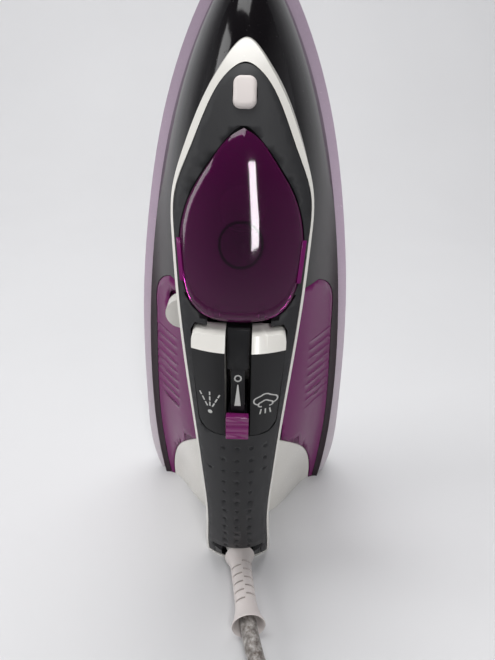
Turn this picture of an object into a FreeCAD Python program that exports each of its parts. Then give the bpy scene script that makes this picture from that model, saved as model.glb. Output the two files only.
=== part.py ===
# Household steam iron that stands on its heel, as a FreeCAD 1.1 document of separate sub-parts.
# Every sub-part is drawn in the ironing frame: +X from heel to nose, +Y to the user's left, +Z up
# from the sole. One common placement then stands the iron on its heel with +Z up.
# The cord, its coil and its plug lie on the floor and are drawn in the standing frame.
import FreeCAD, Part
import math
import os
import Sketcher

Vector = FreeCAD.Vector
Placement = FreeCAD.Placement
Rotation = FreeCAD.Rotation

# Driving dimensions in millimetres (and degrees), one named cell each.
SIZES = {
    "ironLength": 298.0, "ironWidth": 117.0, "heelLean": 5.0, "soleRear": 1.6, "standShift": 46.0,
    "skinThick": 1.2, "flangeTop": 2.2, "castingTop": 10.0, "skirtTop": 14.0, "skirtLedge": 11.8,
    "skirtWall": 4.2, "skirtRim": 9.0, "edgeGap": 0.3, "shieldThick": 1.6, "postRadius": 4.0,
    "chamberFloor": 5.0, "coverPlate": 1.2, "elementRadius": 3.2, "elementHeight": 7.4,
    "steamHole": 1.5, "screwRadius": 1.6,
    "bodyInset": 5.0, "bodyWall": 2.2, "shoulder": 19.0, "deckHeight": 58.0, "crownHeight": 64.0,
    "browHeight": 49.0, "tipHeight": 24.0, "archLength": 63.0, "archHalf": 43.0, "archStart": 6.0,
    "panelFront": 152.0, "panelInner": 22.0, "panelBorder": 3.5, "tankWall": 1.8, "tankGap": 0.5,
    "tankRear": 72.0, "tankFront": 246.0,
    "handleHeight": 119.5, "handleWidth": 53.4, "handleCrown": 7.0, "coverThick": 2.4, "shellWall": 2.2, "whiteRim": 1.0,
    "gripDepth": 27.0, "gapRear": 38.0, "gapFront": 150.0,
    "bayRear": 120.6, "bayFront": 169.6, "buttonTravel": 4.0, "buttonRise": 6.0, "buttonGap": 0.4, "buttonEase": 0.4,
    "bayFloor": 101.0, "bayFloorThick": 2.0, "pumpX": 160.0, "pumpSide": 10.2, "pumpRadius": 6.0,
    "pistonRadius": 4.6, "pistonFit": 0.05, "pumpBottom": 74.0, "stemRadius": 2.0,
    "sliderTravel": 18.6, "needleTravel": 2.0, "needleRadius": 1.5, "linkTop": 100.0,
    "lidThick": 1.6, "lidRise": 1.5, "lidGap": 0.5, "hingeX": 173.4, "hingeDrop": 2.0, "hingeSide": 7.0,
    "pinRadius": 0.8, "pinFit": 0.05, "barrelRadius": 1.4, "lidSweep": 4.6,
    "trayDepth": 6.0, "neckX": 207.0, "neckRadius": 8.4, "neckBore": 7.0, "neckTilt": 28.0,
    "nozzleX": 245.0, "nozzleWidth": 8.7, "nozzleLength": 11.0, "hoseRadius": 1.6,
    "dialX": 100.0, "dialRadius": 20.0, "dialHeight": 6.5, "shaftRadius": 3.0, "wellRadius": 12.5,
    "thermostatRadius": 10.0, "thermostatTop": 23.0,
    "cleanX": 139.0, "cleanSide": 30.0, "cleanRadius": 7.8, "cleanTop": 52.0, "cleanTravel": 3.0,
    "ballY": -42.0, "ballZ": 9.7, "ballRadius": 7.0, "ballFit": 0.05, "swivelYaw": 7.6,
    "socketFace": 5.5, "socketSide": 12.0, "notchSide": 13.2, "guardLength": 52.0,
    "guardRadius": 5.0, "collarRadius": 8.0, "bellRadius": 8.0,
    "cordRadius": 4.0, "coilX": -12.0, "coilY": -180.0, "coilRadius": 44.0, "coilWide": 24.0,
    "coilHigh": 16.0, "tieThick": 0.8, "plugLength": 38.0, "plugWide": 32.0, "plugHigh": 20.0,
    "prongRadius": 2.4, "prongLength": 19.0, "prongSpacing": 19.0,
}

doc = FreeCAD.newDocument("SteamIron")
sheet = doc.addObject("Spreadsheet::Sheet", "Sizes")
for row, (alias, value) in enumerate(SIZES.items(), start=1):
    sheet.set("A%d" % row, alias)
    sheet.set("B%d" % row, repr(value))
    sheet.setAlias("B%d" % row, alias)
doc.recompute()


def size(alias):
    return float(sheet.get(alias))


length = size("ironLength")
half = size("ironWidth") / 2
lean = math.radians(size("heelLean"))
gap = size("edgeGap")
skirtTop = size("skirtTop")

# The iron's own axes as they point once it stands: nose up, sole to the back.
standMatrix = FreeCAD.Matrix(
    0, -1, 0, 0,
    -math.sin(lean), 0, -math.cos(lean), size("standShift"),
    math.cos(lean), 0, -math.sin(lean), 0,
    0, 0, 0, 1)
stand = Placement(standMatrix)
parts = []


# ---------------------------------------------------------------- document helpers

def finish(thing, label, placed=True):
    """Names a sub-part and stands it up with the rest of the iron."""
    thing.Label = label
    if placed:
        thing.Placement = stand.multiply(thing.Placement)
    parts.append(thing)
    return thing


def shaped(label, shape, placed=True):
    """A sub-part whose outline follows free curves, from Part's own functions."""
    thing = doc.addObject("Part::Feature", label + "Shape")
    thing.Shape = shape.removeSplitter()
    return finish(thing, label, placed)


def newBody(label):
    return doc.addObject("PartDesign::Body", label + "Body")


def newSketch(body, height, plane="XY_Plane"):
    sketch = body.newObject("Sketcher::SketchObject", body.Name + "Sketch")
    origin = [f for f in body.Origin.OriginFeatures if f.Role == plane][0]
    sketch.AttachmentSupport = [(origin, "")]
    sketch.MapMode = "FlatFace"
    sketch.AttachmentOffset = Placement(Vector(0, 0, height), Rotation())
    return sketch


def circle(sketch, x, y, radius):
    """A circle whose radius follows a cell or a formula of cells."""
    index = sketch.addGeometry(Part.Circle(Vector(x, y, 0), Vector(0, 0, 1), 1.0))
    rule = sketch.addConstraint(Sketcher.Constraint("Radius", index, 1.0))
    sketch.setExpression("Constraints[%d]" % rule, radius)
    for axis, value in (("DistanceX", x), ("DistanceY", y)):
        if abs(value) > 1e-6:
            sketch.addConstraint(Sketcher.Constraint(axis, -1, 1, index, 3, value))


def draw(sketch, edges):
    for edge in edges:
        sketch.addGeometry(edge)


def pad(body, sketch, thickness):
    feature = body.newObject("PartDesign::Pad", body.Name + "Pad")
    feature.Profile = sketch
    feature.setExpression("Length", thickness)
    return feature


def pocket(body, sketch, depth, upward=False):
    """Cuts down from the sketch, or up from it when the wall is above."""
    feature = body.newObject("PartDesign::Pocket", body.Name + "Pocket")
    feature.Profile = sketch
    feature.setExpression("Length", depth)
    feature.Reversed = upward
    return feature


def revolved(label, points):
    """A turned piece: a closed half-section of (radius, height) about the iron's Z axis."""
    body = newBody(label)
    sketch = newSketch(body, 0, "XZ_Plane")
    ends = points[1:] + points[:1]
    draw(sketch, [Part.LineSegment(Vector(a[0], a[1], 0), Vector(b[0], b[1], 0)) for a, b in zip(points, ends)])
    turn = body.newObject("PartDesign::Revolution", label + "Turn")
    turn.Profile = sketch
    turn.ReferenceAxis = (sketch, ["V_Axis"])
    return body


def box(name, x, y, z, lengths):
    """A block from its lowest corner; its three lengths are cells or formulas of cells."""
    block = doc.addObject("Part::Box", name)
    for key, value in zip(("Length", "Width", "Height"), lengths):
        block.setExpression(key, value)
    block.Placement = Placement(Vector(x, y, z), Rotation())
    return block


def rod(name, x, y, z, radius, height, turn=Rotation()):
    """A cylinder from the centre of its lower end."""
    bar = doc.addObject("Part::Cylinder", name)
    bar.setExpression("Radius", radius)
    bar.setExpression("Height", height)
    bar.Placement = Placement(Vector(x, y, z), turn)
    return bar


def fuse(name, things):
    joined = doc.addObject("Part::MultiFuse", name)
    joined.Shapes = things
    joined.Refine = True
    return joined


def cut(name, base, tool):
    result = doc.addObject("Part::Cut", name)
    result.Base = base
    result.Tool = tool
    result.Refine = True
    return result


# ---------------------------------------------------------------- curves of the iron

# Sole outline: (share of length, share of half width), from the heel to the nose tip.
soleLine = [(0.0, 0.90), (0.035, 0.95), (0.19, 1.0), (0.42, 0.96), (0.61, 0.84), (0.79, 0.63),
            (0.915, 0.365), (0.98, 0.14)]
# Handle seen from above: (share of length, share of half handle width), heel to arch tip.
planLine = [(0.015, 0.63), (0.09, 0.62), (0.20, 0.57), (0.31, 0.62), (0.40, 0.68), (0.54, 0.83),
            (0.60, 0.91), (0.658, 0.98), (0.711, 1.0), (0.762, 0.84), (0.815, 0.59), (0.856, 0.30)]
# Handle seen from the side: (share of length, share of handle height).
backLine = [(-0.02, 0.70), (0.027, 0.753), (0.111, 0.845), (0.255, 0.946), (0.379, 0.992),
            (0.503, 1.0), (0.587, 0.946), (0.688, 0.820), (0.789, 0.678), (0.879, 0.502)]
# Half width over which the handle's top is rounded, at the stations of backLine (share of half handle width).
crownLine = [0.63, 0.63, 0.60, 0.585, 0.665, 0.79, 0.90, 1.0, 1.0, 0.95]
crownPower = 2.2
archTip = 0.879


def spline(points):
    curve = Part.BSplineCurve()
    curve.interpolate(points)
    return curve


def inward(points, inset):
    """Moves each point of a left-hand line square to the line, towards the centreline."""
    moved = []
    for i, point in enumerate(points):
        before = points[max(i - 1, 0)]
        after = points[min(i + 1, len(points) - 1)]
        along = after.sub(before).normalize()
        depth = inset[i] if isinstance(inset, list) else inset
        moved.append(Vector(point.x + along.y * depth, point.y - along.x * depth, 0))
    return moved


def loop(points, tip, rear):
    """A closed outline, the same left and right: a curve round the tip and a straight rear edge."""
    right = [Vector(p.x, -p.y, 0) for p in points]
    first, last = points[0], right[0]
    curve = spline(points + [Vector(tip, 0, 0)] + right[::-1])
    if abs(first.x - rear) < 0.01:
        return [curve, Part.LineSegment(last, first)]
    corners = [Vector(rear, last.y, 0), Vector(rear, first.y, 0)]
    return [curve, Part.LineSegment(last, corners[0]), Part.LineSegment(*corners),
            Part.LineSegment(corners[1], first)]


def soleEdges(inset):
    rear = size("soleRear")
    points = [Vector(rear + a * (length - rear), b * half, 0) for a, b in soleLine]
    points = inward(points, inset)
    points[0].x = rear + inset
    points[1].x += inset
    return loop(points, length - inset, rear + inset)


def planPoints():
    wide = size("handleWidth") / 2
    return [Vector(a * length, b * wide, 0) for a, b in planLine]


def planEdges(inset, tipInset=None):
    """The handle from above, drawn in by an inset that may be larger towards the arch tip."""
    points = planPoints()
    insets = [inset] * len(points)
    if tipInset is not None:
        insets[-1] = tipInset * 0.55
        insets[-2] = tipInset * 0.36
        insets[-3] = tipInset * 0.33
    else:
        tipInset = inset * 1.6
    return loop(inward(points, insets), archTip * length - tipInset, -0.02 * length)


def prism(edges, low, high):
    wire = Part.Wire(Part.__sortEdges__([edge.toShape() for edge in edges]))
    face = Part.Face(wire)
    face.translate(Vector(0, 0, low))
    return face.extrude(Vector(0, 0, high - low))


backPoints = [Vector(a * length, 0, b * size("handleHeight")) for a, b in backLine]
backCurve = spline(backPoints)


def backHeight(x):
    """Height of the handle's upper line above the sole at x."""
    cutLine = Part.LineSegment(Vector(x, 0, 0), Vector(x, 0, 300)).toShape()
    near = backCurve.toShape().distToShape(cutLine)
    return near[1][0][0].z


def crownDrop(x, y):
    """How far the handle's rounded top falls below its upper line, at x along and y across."""
    stations = [(p.x, share) for p, share in zip(backPoints, crownLine)]
    before, after = stations[0], stations[-1]
    for a, b in zip(stations, stations[1:]):
        if a[0] <= x <= b[0]:
            before, after = a, b
    along = min(max((x - before[0]) / (after[0] - before[0]), 0), 1)
    wide = (before[1] + (after[1] - before[1]) * along) * size("handleWidth") / 2
    return size("handleCrown") * (abs(y) / wide) ** crownPower


def sideSlab(lower, upper, floor=None):
    """The layer between two copies of the handle's rounded top, or down to a level floor."""
    wires = []
    for point, share in zip(backPoints, crownLine):
        wide = share * size("handleWidth") / 2
        steps = [1.25 * wide * i / 10 for i in range(-10, 11)]
        drops = [size("handleCrown") * (abs(y) / wide) ** crownPower for y in steps]
        top = [Vector(point.x, y, point.z + upper - drop) for y, drop in zip(steps, drops)]
        if floor is None:
            low = [Vector(p.x, p.y, p.z + lower - upper) for p in top]
            under = spline(low).toShape()
        else:
            low = [Vector(point.x, top[0].y, floor), Vector(point.x, top[-1].y, floor)]
            under = Part.makeLine(low[0], low[-1])
        wires.append(Part.Wire([spline(top).toShape(), Part.makeLine(top[-1], low[-1]), under,
                                Part.makeLine(low[0], top[0])]))
    return Part.makeLoft(wires, True)


def fingerGap(grow, wide=80.0):
    """The space under the grip, drawn out by a wall when the inside of the shell is cut."""
    rear = size("gapRear") - grow
    front = size("gapFront") + grow
    under = lambda x: backHeight(x) - size("gripDepth") + grow
    top = [Vector(rear, 0, under(rear) - 6), Vector(rear + 10, 0, under(rear + 10) - 1),
           Vector(90, 0, under(90)), Vector(front - 20, 0, under(front - 20)),
           Vector(front - 5, 0, under(front) - 4), Vector(front, 0, under(front) - 14)]
    edges = [spline(top).toShape(), Part.makeLine(top[-1], Vector(front, 0, 20)),
             Part.makeLine(Vector(front, 0, 20), Vector(rear, 0, 20)),
             Part.makeLine(Vector(rear, 0, 20), top[0])]
    face = Part.Face(Part.Wire(edges))
    face.translate(Vector(0, -wide, 0))
    return face.extrude(Vector(0, 2 * wide, 0))


def aboveHeel(depth):
    """Everything on the nose side of the floor that the heel stands on, less a depth."""
    block = Part.makeBox(500, 400, 400, Vector(depth, -200, -150))
    block.rotate(Vector(0, 0, 0), Vector(0, 1, 0), size("heelLean"))
    return block


# Body sections from heel to nose: (centre height, flatness of the deck, steepness of the flank).
bodyForm = [("deckHeight", 3.0, 3.0), ("deckHeight", 3.0, 2.8), ("deckHeight", 3.0, 2.2),
            ("deckHeight", 2.8, 1.6), ("crownHeight", 2.6, 1.1), ("crownHeight", 2.3, 0.75),
            ("browHeight", 2.0, 0.55), ("tipHeight", 2.0, 0.5)]


def bodySolid(inset, low):
    """The iron's body above the skirt, drawn in by an inset from its outer surface."""
    rear = size("soleRear")
    points = [Vector(rear + a * (length - rear), b * half, 0) for a, b in soleLine]
    points = inward(points, size("bodyInset") + inset)
    points[0].x = -4.0
    wires = []
    for point, (height, flat, steep) in zip(points, bodyForm):
        wide = point.y
        top = size(height) - inset
        edge = min(max(size("shoulder") - inset, low + 0.8), top - 3)
        steps = [-1 + i / 12 for i in range(25)]
        curve = [Vector(point.x, wide * u, edge + (top - edge) * max(0, 1 - abs(u) ** flat) ** steep)
                 for u in steps]
        corners = [Vector(point.x, wide, low), Vector(point.x, -wide, low)]
        wires.append(Part.Wire([spline(curve).toShape(), Part.makeLine(curve[-1], corners[0]),
                                Part.makeLine(*corners), Part.makeLine(corners[1], curve[0])]))
    return Part.makeLoft(wires, True)


def archPrism(grow):
    """The heel's rounded front edge, seen from above."""
    ellipse = Part.Ellipse(Vector(0, 0, 0), size("archLength") + grow, size("archHalf") + grow)
    face = Part.Face(Part.Wire(ellipse.toShape()))
    face.translate(Vector(size("archStart"), 0, 0))
    return face.extrude(Vector(0, 0, 90))


def windowPrism(side, inset):
    """The side panel's outline: along the body's edge, round at the front, open under the handle."""
    rear = size("soleRear")
    border = size("bodyInset") + size("panelBorder") + inset
    line = [Vector(rear + a * (length - rear), b * half, 0) for a, b in soleLine[:5]]
    line = inward(line, border)
    front = size("panelFront") - inset
    line = [p for p in line if p.x < front - 12]
    line[0].x = -8.0
    line.append(Vector(front - 12, line[-1].y - 1.6, 0))
    line.append(Vector(front, line[-1].y - 9, 0))
    inner = size("panelInner") + inset
    edges = [spline(line), Part.LineSegment(line[-1], Vector(front, inner, 0)),
             Part.LineSegment(Vector(front, inner, 0), Vector(-8, inner, 0)),
             Part.LineSegment(Vector(-8, inner, 0), line[0])]
    solid = prism(edges, size("skirtTop") + size("bodyWall") + inset, 90)
    return solid if side > 0 else solid.mirror(Vector(0, 0, 0), Vector(0, 1, 0))


def routeWire(points, report=None):
    """Straight runs joined by tangent arcs as large as the runs allow."""
    edges = []
    start = points[0]
    for before, corner, after in zip(points, points[1:], points[2:]):
        back = before.sub(corner)
        on = after.sub(corner)
        reach = 0.45 * min(back.Length, on.Length)
        turn = math.pi - back.getAngle(on)
        enter = corner.add(Vector(back).normalize().multiply(reach))
        leave = corner.add(Vector(on).normalize().multiply(reach))
        radius = reach / math.tan(turn / 2)
        middle = Vector(back).normalize().add(Vector(on).normalize()).normalize()
        centre = corner.add(Vector(middle).multiply(math.hypot(radius, reach)))
        via = centre.sub(Vector(middle).multiply(radius))
        edges.append(Part.LineSegment(start, enter).toShape())
        edges.append(Part.Arc(enter, via, leave).toShape())
        start = leave
        if report is not None:
            report.append(radius)
    edges.append(Part.LineSegment(start, points[-1]).toShape())
    return Part.Wire(edges)


def tube(points, radius, bore=0.0, report=None):
    """A round tube or wire along a route."""
    wire = routeWire(points, report)
    along = points[1].sub(points[0])

    def sweep(r):
        ring = Part.Wire(Part.Circle(points[0], along, r).toShape())
        return wire.makePipeShell([ring], True, True)

    solid = sweep(radius)
    if bore:
        solid = solid.cut(sweep(bore))
    return solid, wire.Length


# ---------------------------------------------------------------- sole and skirt

steamHoles = [(x, side * y) for x, y in ((60, 34), (95, 40), (130, 38), (165, 34), (200, 27), (235, 18))
              for side in (-1, 1)] + [(262, 0), (150, 0), (185, 12), (185, -12), (220, 0)]
postPlaces = [(40, 22), (40, -22), (228, 9), (228, -9)]
chamberRear, chamberFront, chamberSide = 118.0, 216.0, 20.0
elementRoute = [Vector(16, 30, 26), Vector(16, 30, 7.4), Vector(40, 44, 7.4), Vector(150, 40, 7.4),
                Vector(215, 26, 7.4), Vector(253, 0, 7.4)]


def soleSkin():
    body = newBody("sole_skin")
    sketch = newSketch(body, 0)
    draw(sketch, soleEdges(0.0))
    pad(body, sketch, "Sizes.skinThick")
    holes = newSketch(body, size("skinThick"))
    for x, y in steamHoles:
        circle(holes, x, y, "Sizes.steamHole")
    pocket(body, holes, "Sizes.skinThick")
    finish(body, "sole_skin")


def elementPath():
    left = [Vector(p.x, p.y, size("elementHeight") if p.z < 10 else p.z) for p in elementRoute]
    right = [Vector(p.x, -p.y, p.z) for p in left[:-1]]
    return left + right[::-1]


def chamberEdges(grow):
    """The steam chamber's outline: straight rear, pointed to the nose."""
    rear, front, side = chamberRear - grow, chamberFront + grow * 1.6, chamberSide + grow
    line = [Vector(rear, side, 0), Vector(rear + 45, side, 0), Vector(front - 14, side * 0.45, 0)]
    return loop(line, front, rear)


def soleplate():
    body = newBody("soleplate")
    flange = newSketch(body, size("skinThick"))
    draw(flange, soleEdges(0.6))
    pad(body, flange, "Sizes.flangeTop - Sizes.skinThick")
    main = newSketch(body, size("skinThick"))
    draw(main, soleEdges(size("skirtWall") + gap + 0.5))
    pad(body, main, "Sizes.castingTop - Sizes.skinThick")
    posts = newSketch(body, size("castingTop"))
    for x, y in postPlaces:
        circle(posts, x, y, "Sizes.postRadius")
    pad(body, posts, "Sizes.skirtLedge - Sizes.castingTop")
    chamber = newSketch(body, size("castingTop"))
    draw(chamber, chamberEdges(0))
    pocket(body, chamber, "Sizes.castingTop - Sizes.chamberFloor")
    holes = newSketch(body, size("skinThick"))
    for x, y in steamHoles:
        circle(holes, x, y, "Sizes.steamHole")
    pocket(body, holes, "Sizes.castingTop - Sizes.skinThick", upward=True)
    bores = newSketch(body, size("skirtLedge"))
    for x, y in postPlaces:
        circle(bores, x, y, "Sizes.screwRadius + 0.05")
    pocket(body, bores, "8")
    groove = doc.addObject("Part::Feature", "elementGroove")
    groove.Shape = tube(elementPath(), size("elementRadius") + gap)[0]
    finish(cut("soleplateCut", body, groove), "soleplate")


def heatingElement():
    shaped("heating_element", tube(elementPath(), size("elementRadius"))[0])


def chamberCover():
    body = newBody("chamber_cover")
    sketch = newSketch(body, size("castingTop"))
    draw(sketch, chamberEdges(3.0))
    pad(body, sketch, "Sizes.coverPlate")
    ports = newSketch(body, size("castingTop") + size("coverPlate"))
    circle(ports, size("pumpX"), 0, "Sizes.needleRadius + 0.6")
    circle(ports, size("pumpX") + 3, -size("pumpSide"), "Sizes.hoseRadius - 0.4")
    circle(ports, size("cleanX"), 0, "Sizes.steamHole")
    pocket(body, ports, "Sizes.coverPlate")
    finish(body, "chamber_cover")


def skirt():
    body = newBody("skirt")
    ring = newSketch(body, size("flangeTop"))
    draw(ring, soleEdges(gap))
    pad(body, ring, "Sizes.skirtTop - Sizes.flangeTop")
    inside = newSketch(body, size("flangeTop"))
    draw(inside, soleEdges(size("skirtWall")))
    pocket(body, inside, "Sizes.skirtLedge - Sizes.flangeTop", upward=True)
    rim = newSketch(body, skirtTop)
    draw(rim, soleEdges(size("skirtRim")))
    pocket(body, rim, "Sizes.skirtTop")
    finish(body, "skirt")


def heatShield():
    body = newBody("heat_shield")
    plate = newSketch(body, size("skirtLedge"))
    draw(plate, soleEdges(size("skirtRim") + gap))
    pad(body, plate, "Sizes.shieldThick")
    holes = newSketch(body, size("skirtLedge") + size("shieldThick"))
    for side in (-1, 1):
        circle(holes, elementRoute[0].x + 1, side * (elementRoute[0].y + 1), "Sizes.elementRadius + 2.6")
    circle(holes, size("dialX"), 0, "Sizes.thermostatRadius + 1")
    circle(holes, size("pumpX"), 0, "Sizes.needleRadius + 1.5")
    circle(holes, size("pumpX") + 3, -size("pumpSide"), "Sizes.hoseRadius + 0.4")
    circle(holes, size("cleanX"), size("cleanSide"), "Sizes.stemRadius + 0.4")
    for x, y in postPlaces:
        circle(holes, x, y, "Sizes.screwRadius + 0.2")
    pocket(body, holes, "Sizes.shieldThick")
    finish(body, "heat_shield")


def soleScrews():
    """Four screws that hold the shield down on the casting's posts."""
    top = size("skirtLedge") + size("shieldThick")
    screws = []
    for i, (x, y) in enumerate(postPlaces):
        shank = rod("shank%d" % i, x, y, top - 9, "Sizes.screwRadius", "9")
        head = rod("head%d" % i, x, y, top, "Sizes.screwRadius * 1.9", "0.6")
        screws.append(fuse("screw%d" % i, [shank, head]))
    group = doc.addObject("Part::Compound", "soleScrewGroup")
    group.Links = screws
    finish(group, "sole_screws")


# ---------------------------------------------------------------- body and tank

def column(x, y, radius, low, high):
    return Part.makeCylinder(radius, high - low, Vector(x, y, low))


def bodyShells():
    """Hood, two tank windows and heel, all cut from the one outer shell of the body."""
    wall = size("bodyWall")
    outer = bodySolid(0.0, skirtTop).common(aboveHeel(0.0))
    inner = bodySolid(wall, skirtTop - 5).common(aboveHeel(wall))
    shell = outer.cut(inner)
    arch = archPrism(0.0)
    clearArch = archPrism(gap)
    neckHole = Part.makeBox(86, 30, 60, Vector(size("gapFront") + 3, -15, 30))
    shaft = column(size("dialX"), 0, size("shaftRadius") + 0.4, 30, 90)
    clean = column(size("cleanX"), size("cleanSide"), size("cleanRadius") + gap, 25, 90)
    wireHole = column(20, 0, 7.0, 30, 90)
    hood = shell.cut(clearArch).cut(neckHole).cut(shaft).cut(clean)
    for side, name in ((1, "left"), (-1, "right")):
        panel = windowPrism(side, gap)
        opening = windowPrism(side, 0.0)
        window = shell.common(panel).cut(clearArch).cut(clean)
        shaped("tank_window_" + name, max(window.Solids, key=lambda solid: solid.Volume))
        hood = hood.cut(opening)
    shaped("hood", hood)
    heel = shell.common(arch).cut(wireHole)
    shaped("heel_cover", heel)


def waterTank():
    inset = size("bodyWall") + size("tankGap")
    low = skirtTop + gap
    wall = size("tankWall")
    keep = Part.makeBox(size("tankFront") - size("tankRear"), 200, 200, Vector(size("tankRear"), -100, 0))
    keepInside = Part.makeBox(size("tankFront") - size("tankRear") - 2 * wall, 200, 200,
                              Vector(size("tankRear") + wall, -100, 0))
    tank = bodySolid(inset, low).common(keep)
    cavity = bodySolid(inset + wall, low + wall).common(keepInside)
    wells = [(size("dialX"), 0, size("wellRadius"), 0),
             (size("pumpX") + 3, -size("pumpSide"), size("hoseRadius") + 0.6, 0),
             (size("cleanX"), size("cleanSide"), size("stemRadius") + 0.8, 0),
             (size("cleanX"), size("cleanSide"), size("cleanRadius") + 1.2, 36)]
    for x, y, radius, start in wells:
        cavity = cavity.cut(column(x, y, radius + 1.5, max(start - 1.5, 0), 90))
    tank = tank.cut(cavity)
    for x, y, radius, start in wells:
        tank = tank.cut(column(x, y, radius, start, 90))
    for x, y, radius in ((size("pumpX"), 0, 3.2 + gap),
                         (size("pumpX") - 3, size("pumpSide"), size("hoseRadius") + 0.1),
                         (size("pumpX") - 3, -size("pumpSide"), size("hoseRadius") + 0.1)):
        tank = tank.cut(column(x, y, radius, 40, 90))
    tank = tank.cut(column(size("pumpX"), 0, 3.0 + gap, 0, 30))
    tank = tank.cut(neckCylinder(size("neckRadius") + gap, -60, 0))
    shaped("water_tank", tank)


def neckCylinder(radius, low, high):
    """A cylinder on the filler neck's axis, which stands square to the handle's slope."""
    x = size("neckX")
    turn = Rotation(Vector(0, 1, 0), size("neckTilt"))
    solid = Part.makeCylinder(radius, high - low, Vector(0, 0, low))
    solid.Placement = Placement(Vector(x, 0, backHeight(x) - size("trayDepth")), turn)
    return solid


def fillerNeck():
    outer = neckCylinder(size("neckRadius"), -41, -0.3)
    shaped("filler_neck", outer.cut(neckCylinder(size("neckBore"), -45, 5)))


def valveSeat():
    """Brass seat in the tank floor that the steam needle closes."""
    low = size("castingTop") + size("coverPlate")
    outer = rod("seatOuter", size("pumpX"), 0, low + 0.2, "3.0", "9")
    bore = rod("seatBore", size("pumpX"), 0, low - 1, "Sizes.needleRadius + Sizes.pistonFit", "20")
    finish(cut("seatCut", outer, bore), "valve_seat")


def thermostat():
    cup = rod("thermostatCup", size("dialX"), 0, size("castingTop"), "Sizes.thermostatRadius",
              "Sizes.thermostatTop - Sizes.castingTop - 4")
    stem = rod("thermostatStem", size("dialX"), 0, size("thermostatTop") - 4, "5", "4")
    finish(fuse("thermostatBody", [cup, stem]), "thermostat")


def temperatureDial():
    """Dial on the deck under the handle, with its shaft down to the thermostat."""
    low = size("deckHeight") + gap
    body = newBody("temperature_dial")
    disc = newSketch(body, low)
    circle(disc, size("dialX"), 0, "Sizes.dialRadius")
    pad(body, disc, "Sizes.dialHeight")
    notches = newSketch(body, low + size("dialHeight"))
    for i in range(24):
        angle = math.radians(15 * i + 7.5)
        circle(notches, size("dialX") + size("dialRadius") * math.cos(angle),
               size("dialRadius") * math.sin(angle), "0.9")
    pocket(body, notches, "Sizes.dialHeight")
    finish(body, "temperature_dial")
    bottom = size("thermostatTop") + 0.2
    shaft = rod("dialShaftRod", size("dialX"), 0, bottom, "Sizes.shaftRadius",
                "Sizes.deckHeight + Sizes.edgeGap - %f" % bottom)
    finish(shaft, "dial_shaft")


def springShape(x, y, low, high, radius, wire, turns):
    helix = Part.makeHelix((high - low - 2 * wire) / turns, high - low - 2 * wire, radius)
    helix.translate(Vector(0, 0, low + wire))
    ring = Part.Wire(Part.Circle(Vector(radius, 0, low + wire), Vector(0, 1, 0), wire).toShape())
    solid = Part.Wire(helix).makePipeShell([ring], True, True)
    solid.translate(Vector(x, y, 0))
    return solid


def selfClean():
    """Self-clean button at the left of the deck, its rod to the chamber and its spring."""
    x, y = size("cleanX"), size("cleanSide")
    top = size("cleanTop")
    head = rod("cleanHead", x, y, top - 8, "Sizes.cleanRadius", "8")
    finish(head, "self_clean_button")
    bottom = size("castingTop") + 0.6 + size("cleanTravel")
    bar = rod("cleanBar", x, y, bottom, "Sizes.stemRadius", "Sizes.cleanTop - 8 - %f" % bottom)
    finish(bar, "self_clean_rod")
    shaped("self_clean_spring", springShape(x, y, 36.1, top - 8.1, 3.4, 0.5, 3))


# ---------------------------------------------------------------- handle

def lidEdges(grow):
    """The filler lid from above: broad and round at the rear, pointed towards the nose."""
    line = [Vector(172.4, 9, 0), Vector(176.5, 17.5, 0), Vector(184, 21.6, 0), Vector(196, 23.2, 0),
            Vector(211, 19.9, 0), Vector(224, 11.6, 0), Vector(231.5, 5.0, 0)]
    line = inward(line, -grow)
    return loop(line, 234.5 + grow, 170.6 - grow)


def bayEdges(grow):
    """The opening that holds the two buttons and the slider."""
    rear, front = size("bayRear") - grow, size("bayFront") + grow
    line = [Vector(rear, 9.0, 0), Vector(rear + 1.6, 13.6, 0), Vector(rear + 6, 15.9 + grow, 0),
            Vector(front - 3, 18.4 + grow, 0), Vector(front, 16.8, 0)]
    right = [Vector(p.x, -p.y, 0) for p in line]
    return [spline(line[:3]), Part.LineSegment(line[2], line[3]), Part.LineSegment(line[3], line[4]),
            Part.LineSegment(line[4], right[4]), Part.LineSegment(right[4], right[3]),
            Part.LineSegment(right[3], right[2]), spline(right[2::-1]),
            Part.LineSegment(right[0], line[0])]


def standing(shape):
    """Takes a tool drawn in the standing frame back into the ironing frame."""
    shape = shape.copy()
    shape.Placement = stand.inverse().multiply(shape.Placement)
    return shape


def notchTool():
    """The notch at the handle's end that the cord's guard swings in."""
    y = size("ballY") - size("socketFace")
    return standing(Part.makeBox(2 * size("notchSide"), 60, 16.6,
                                 Vector(-size("notchSide"), y - 60, 1.4)))


def socketRoom():
    """The swivel socket's own space, with a gap all round."""
    side, face = size("socketSide") + gap, size("socketFace") + gap
    return standing(Part.makeBox(2 * side, face + 6 + gap, 14.4 + 2 * gap,
                                 Vector(-side, size("ballY") - face, 2.7 - gap)))


def nozzlePrism(grow):
    """The spray nozzle's long round outline, square to the slope at the arch tip."""
    side = size("nozzleWidth") / 2 + grow
    reach = size("nozzleLength") / 2 + grow - side
    block = Part.makeBox(2 * reach, 2 * side, 14, Vector(-reach, -side, -9))
    for end in (-reach, reach):
        block = block.fuse(Part.makeCylinder(side, 14, Vector(end, 0, -9)))
    x = size("nozzleX")
    slope = math.degrees(math.atan2(backHeight(x - 5) - backHeight(x + 5), 10))
    block = block.removeSplitter()
    block.Placement = Placement(Vector(x, 0, backHeight(x)), Rotation(Vector(0, 1, 0), slope))
    return block


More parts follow.
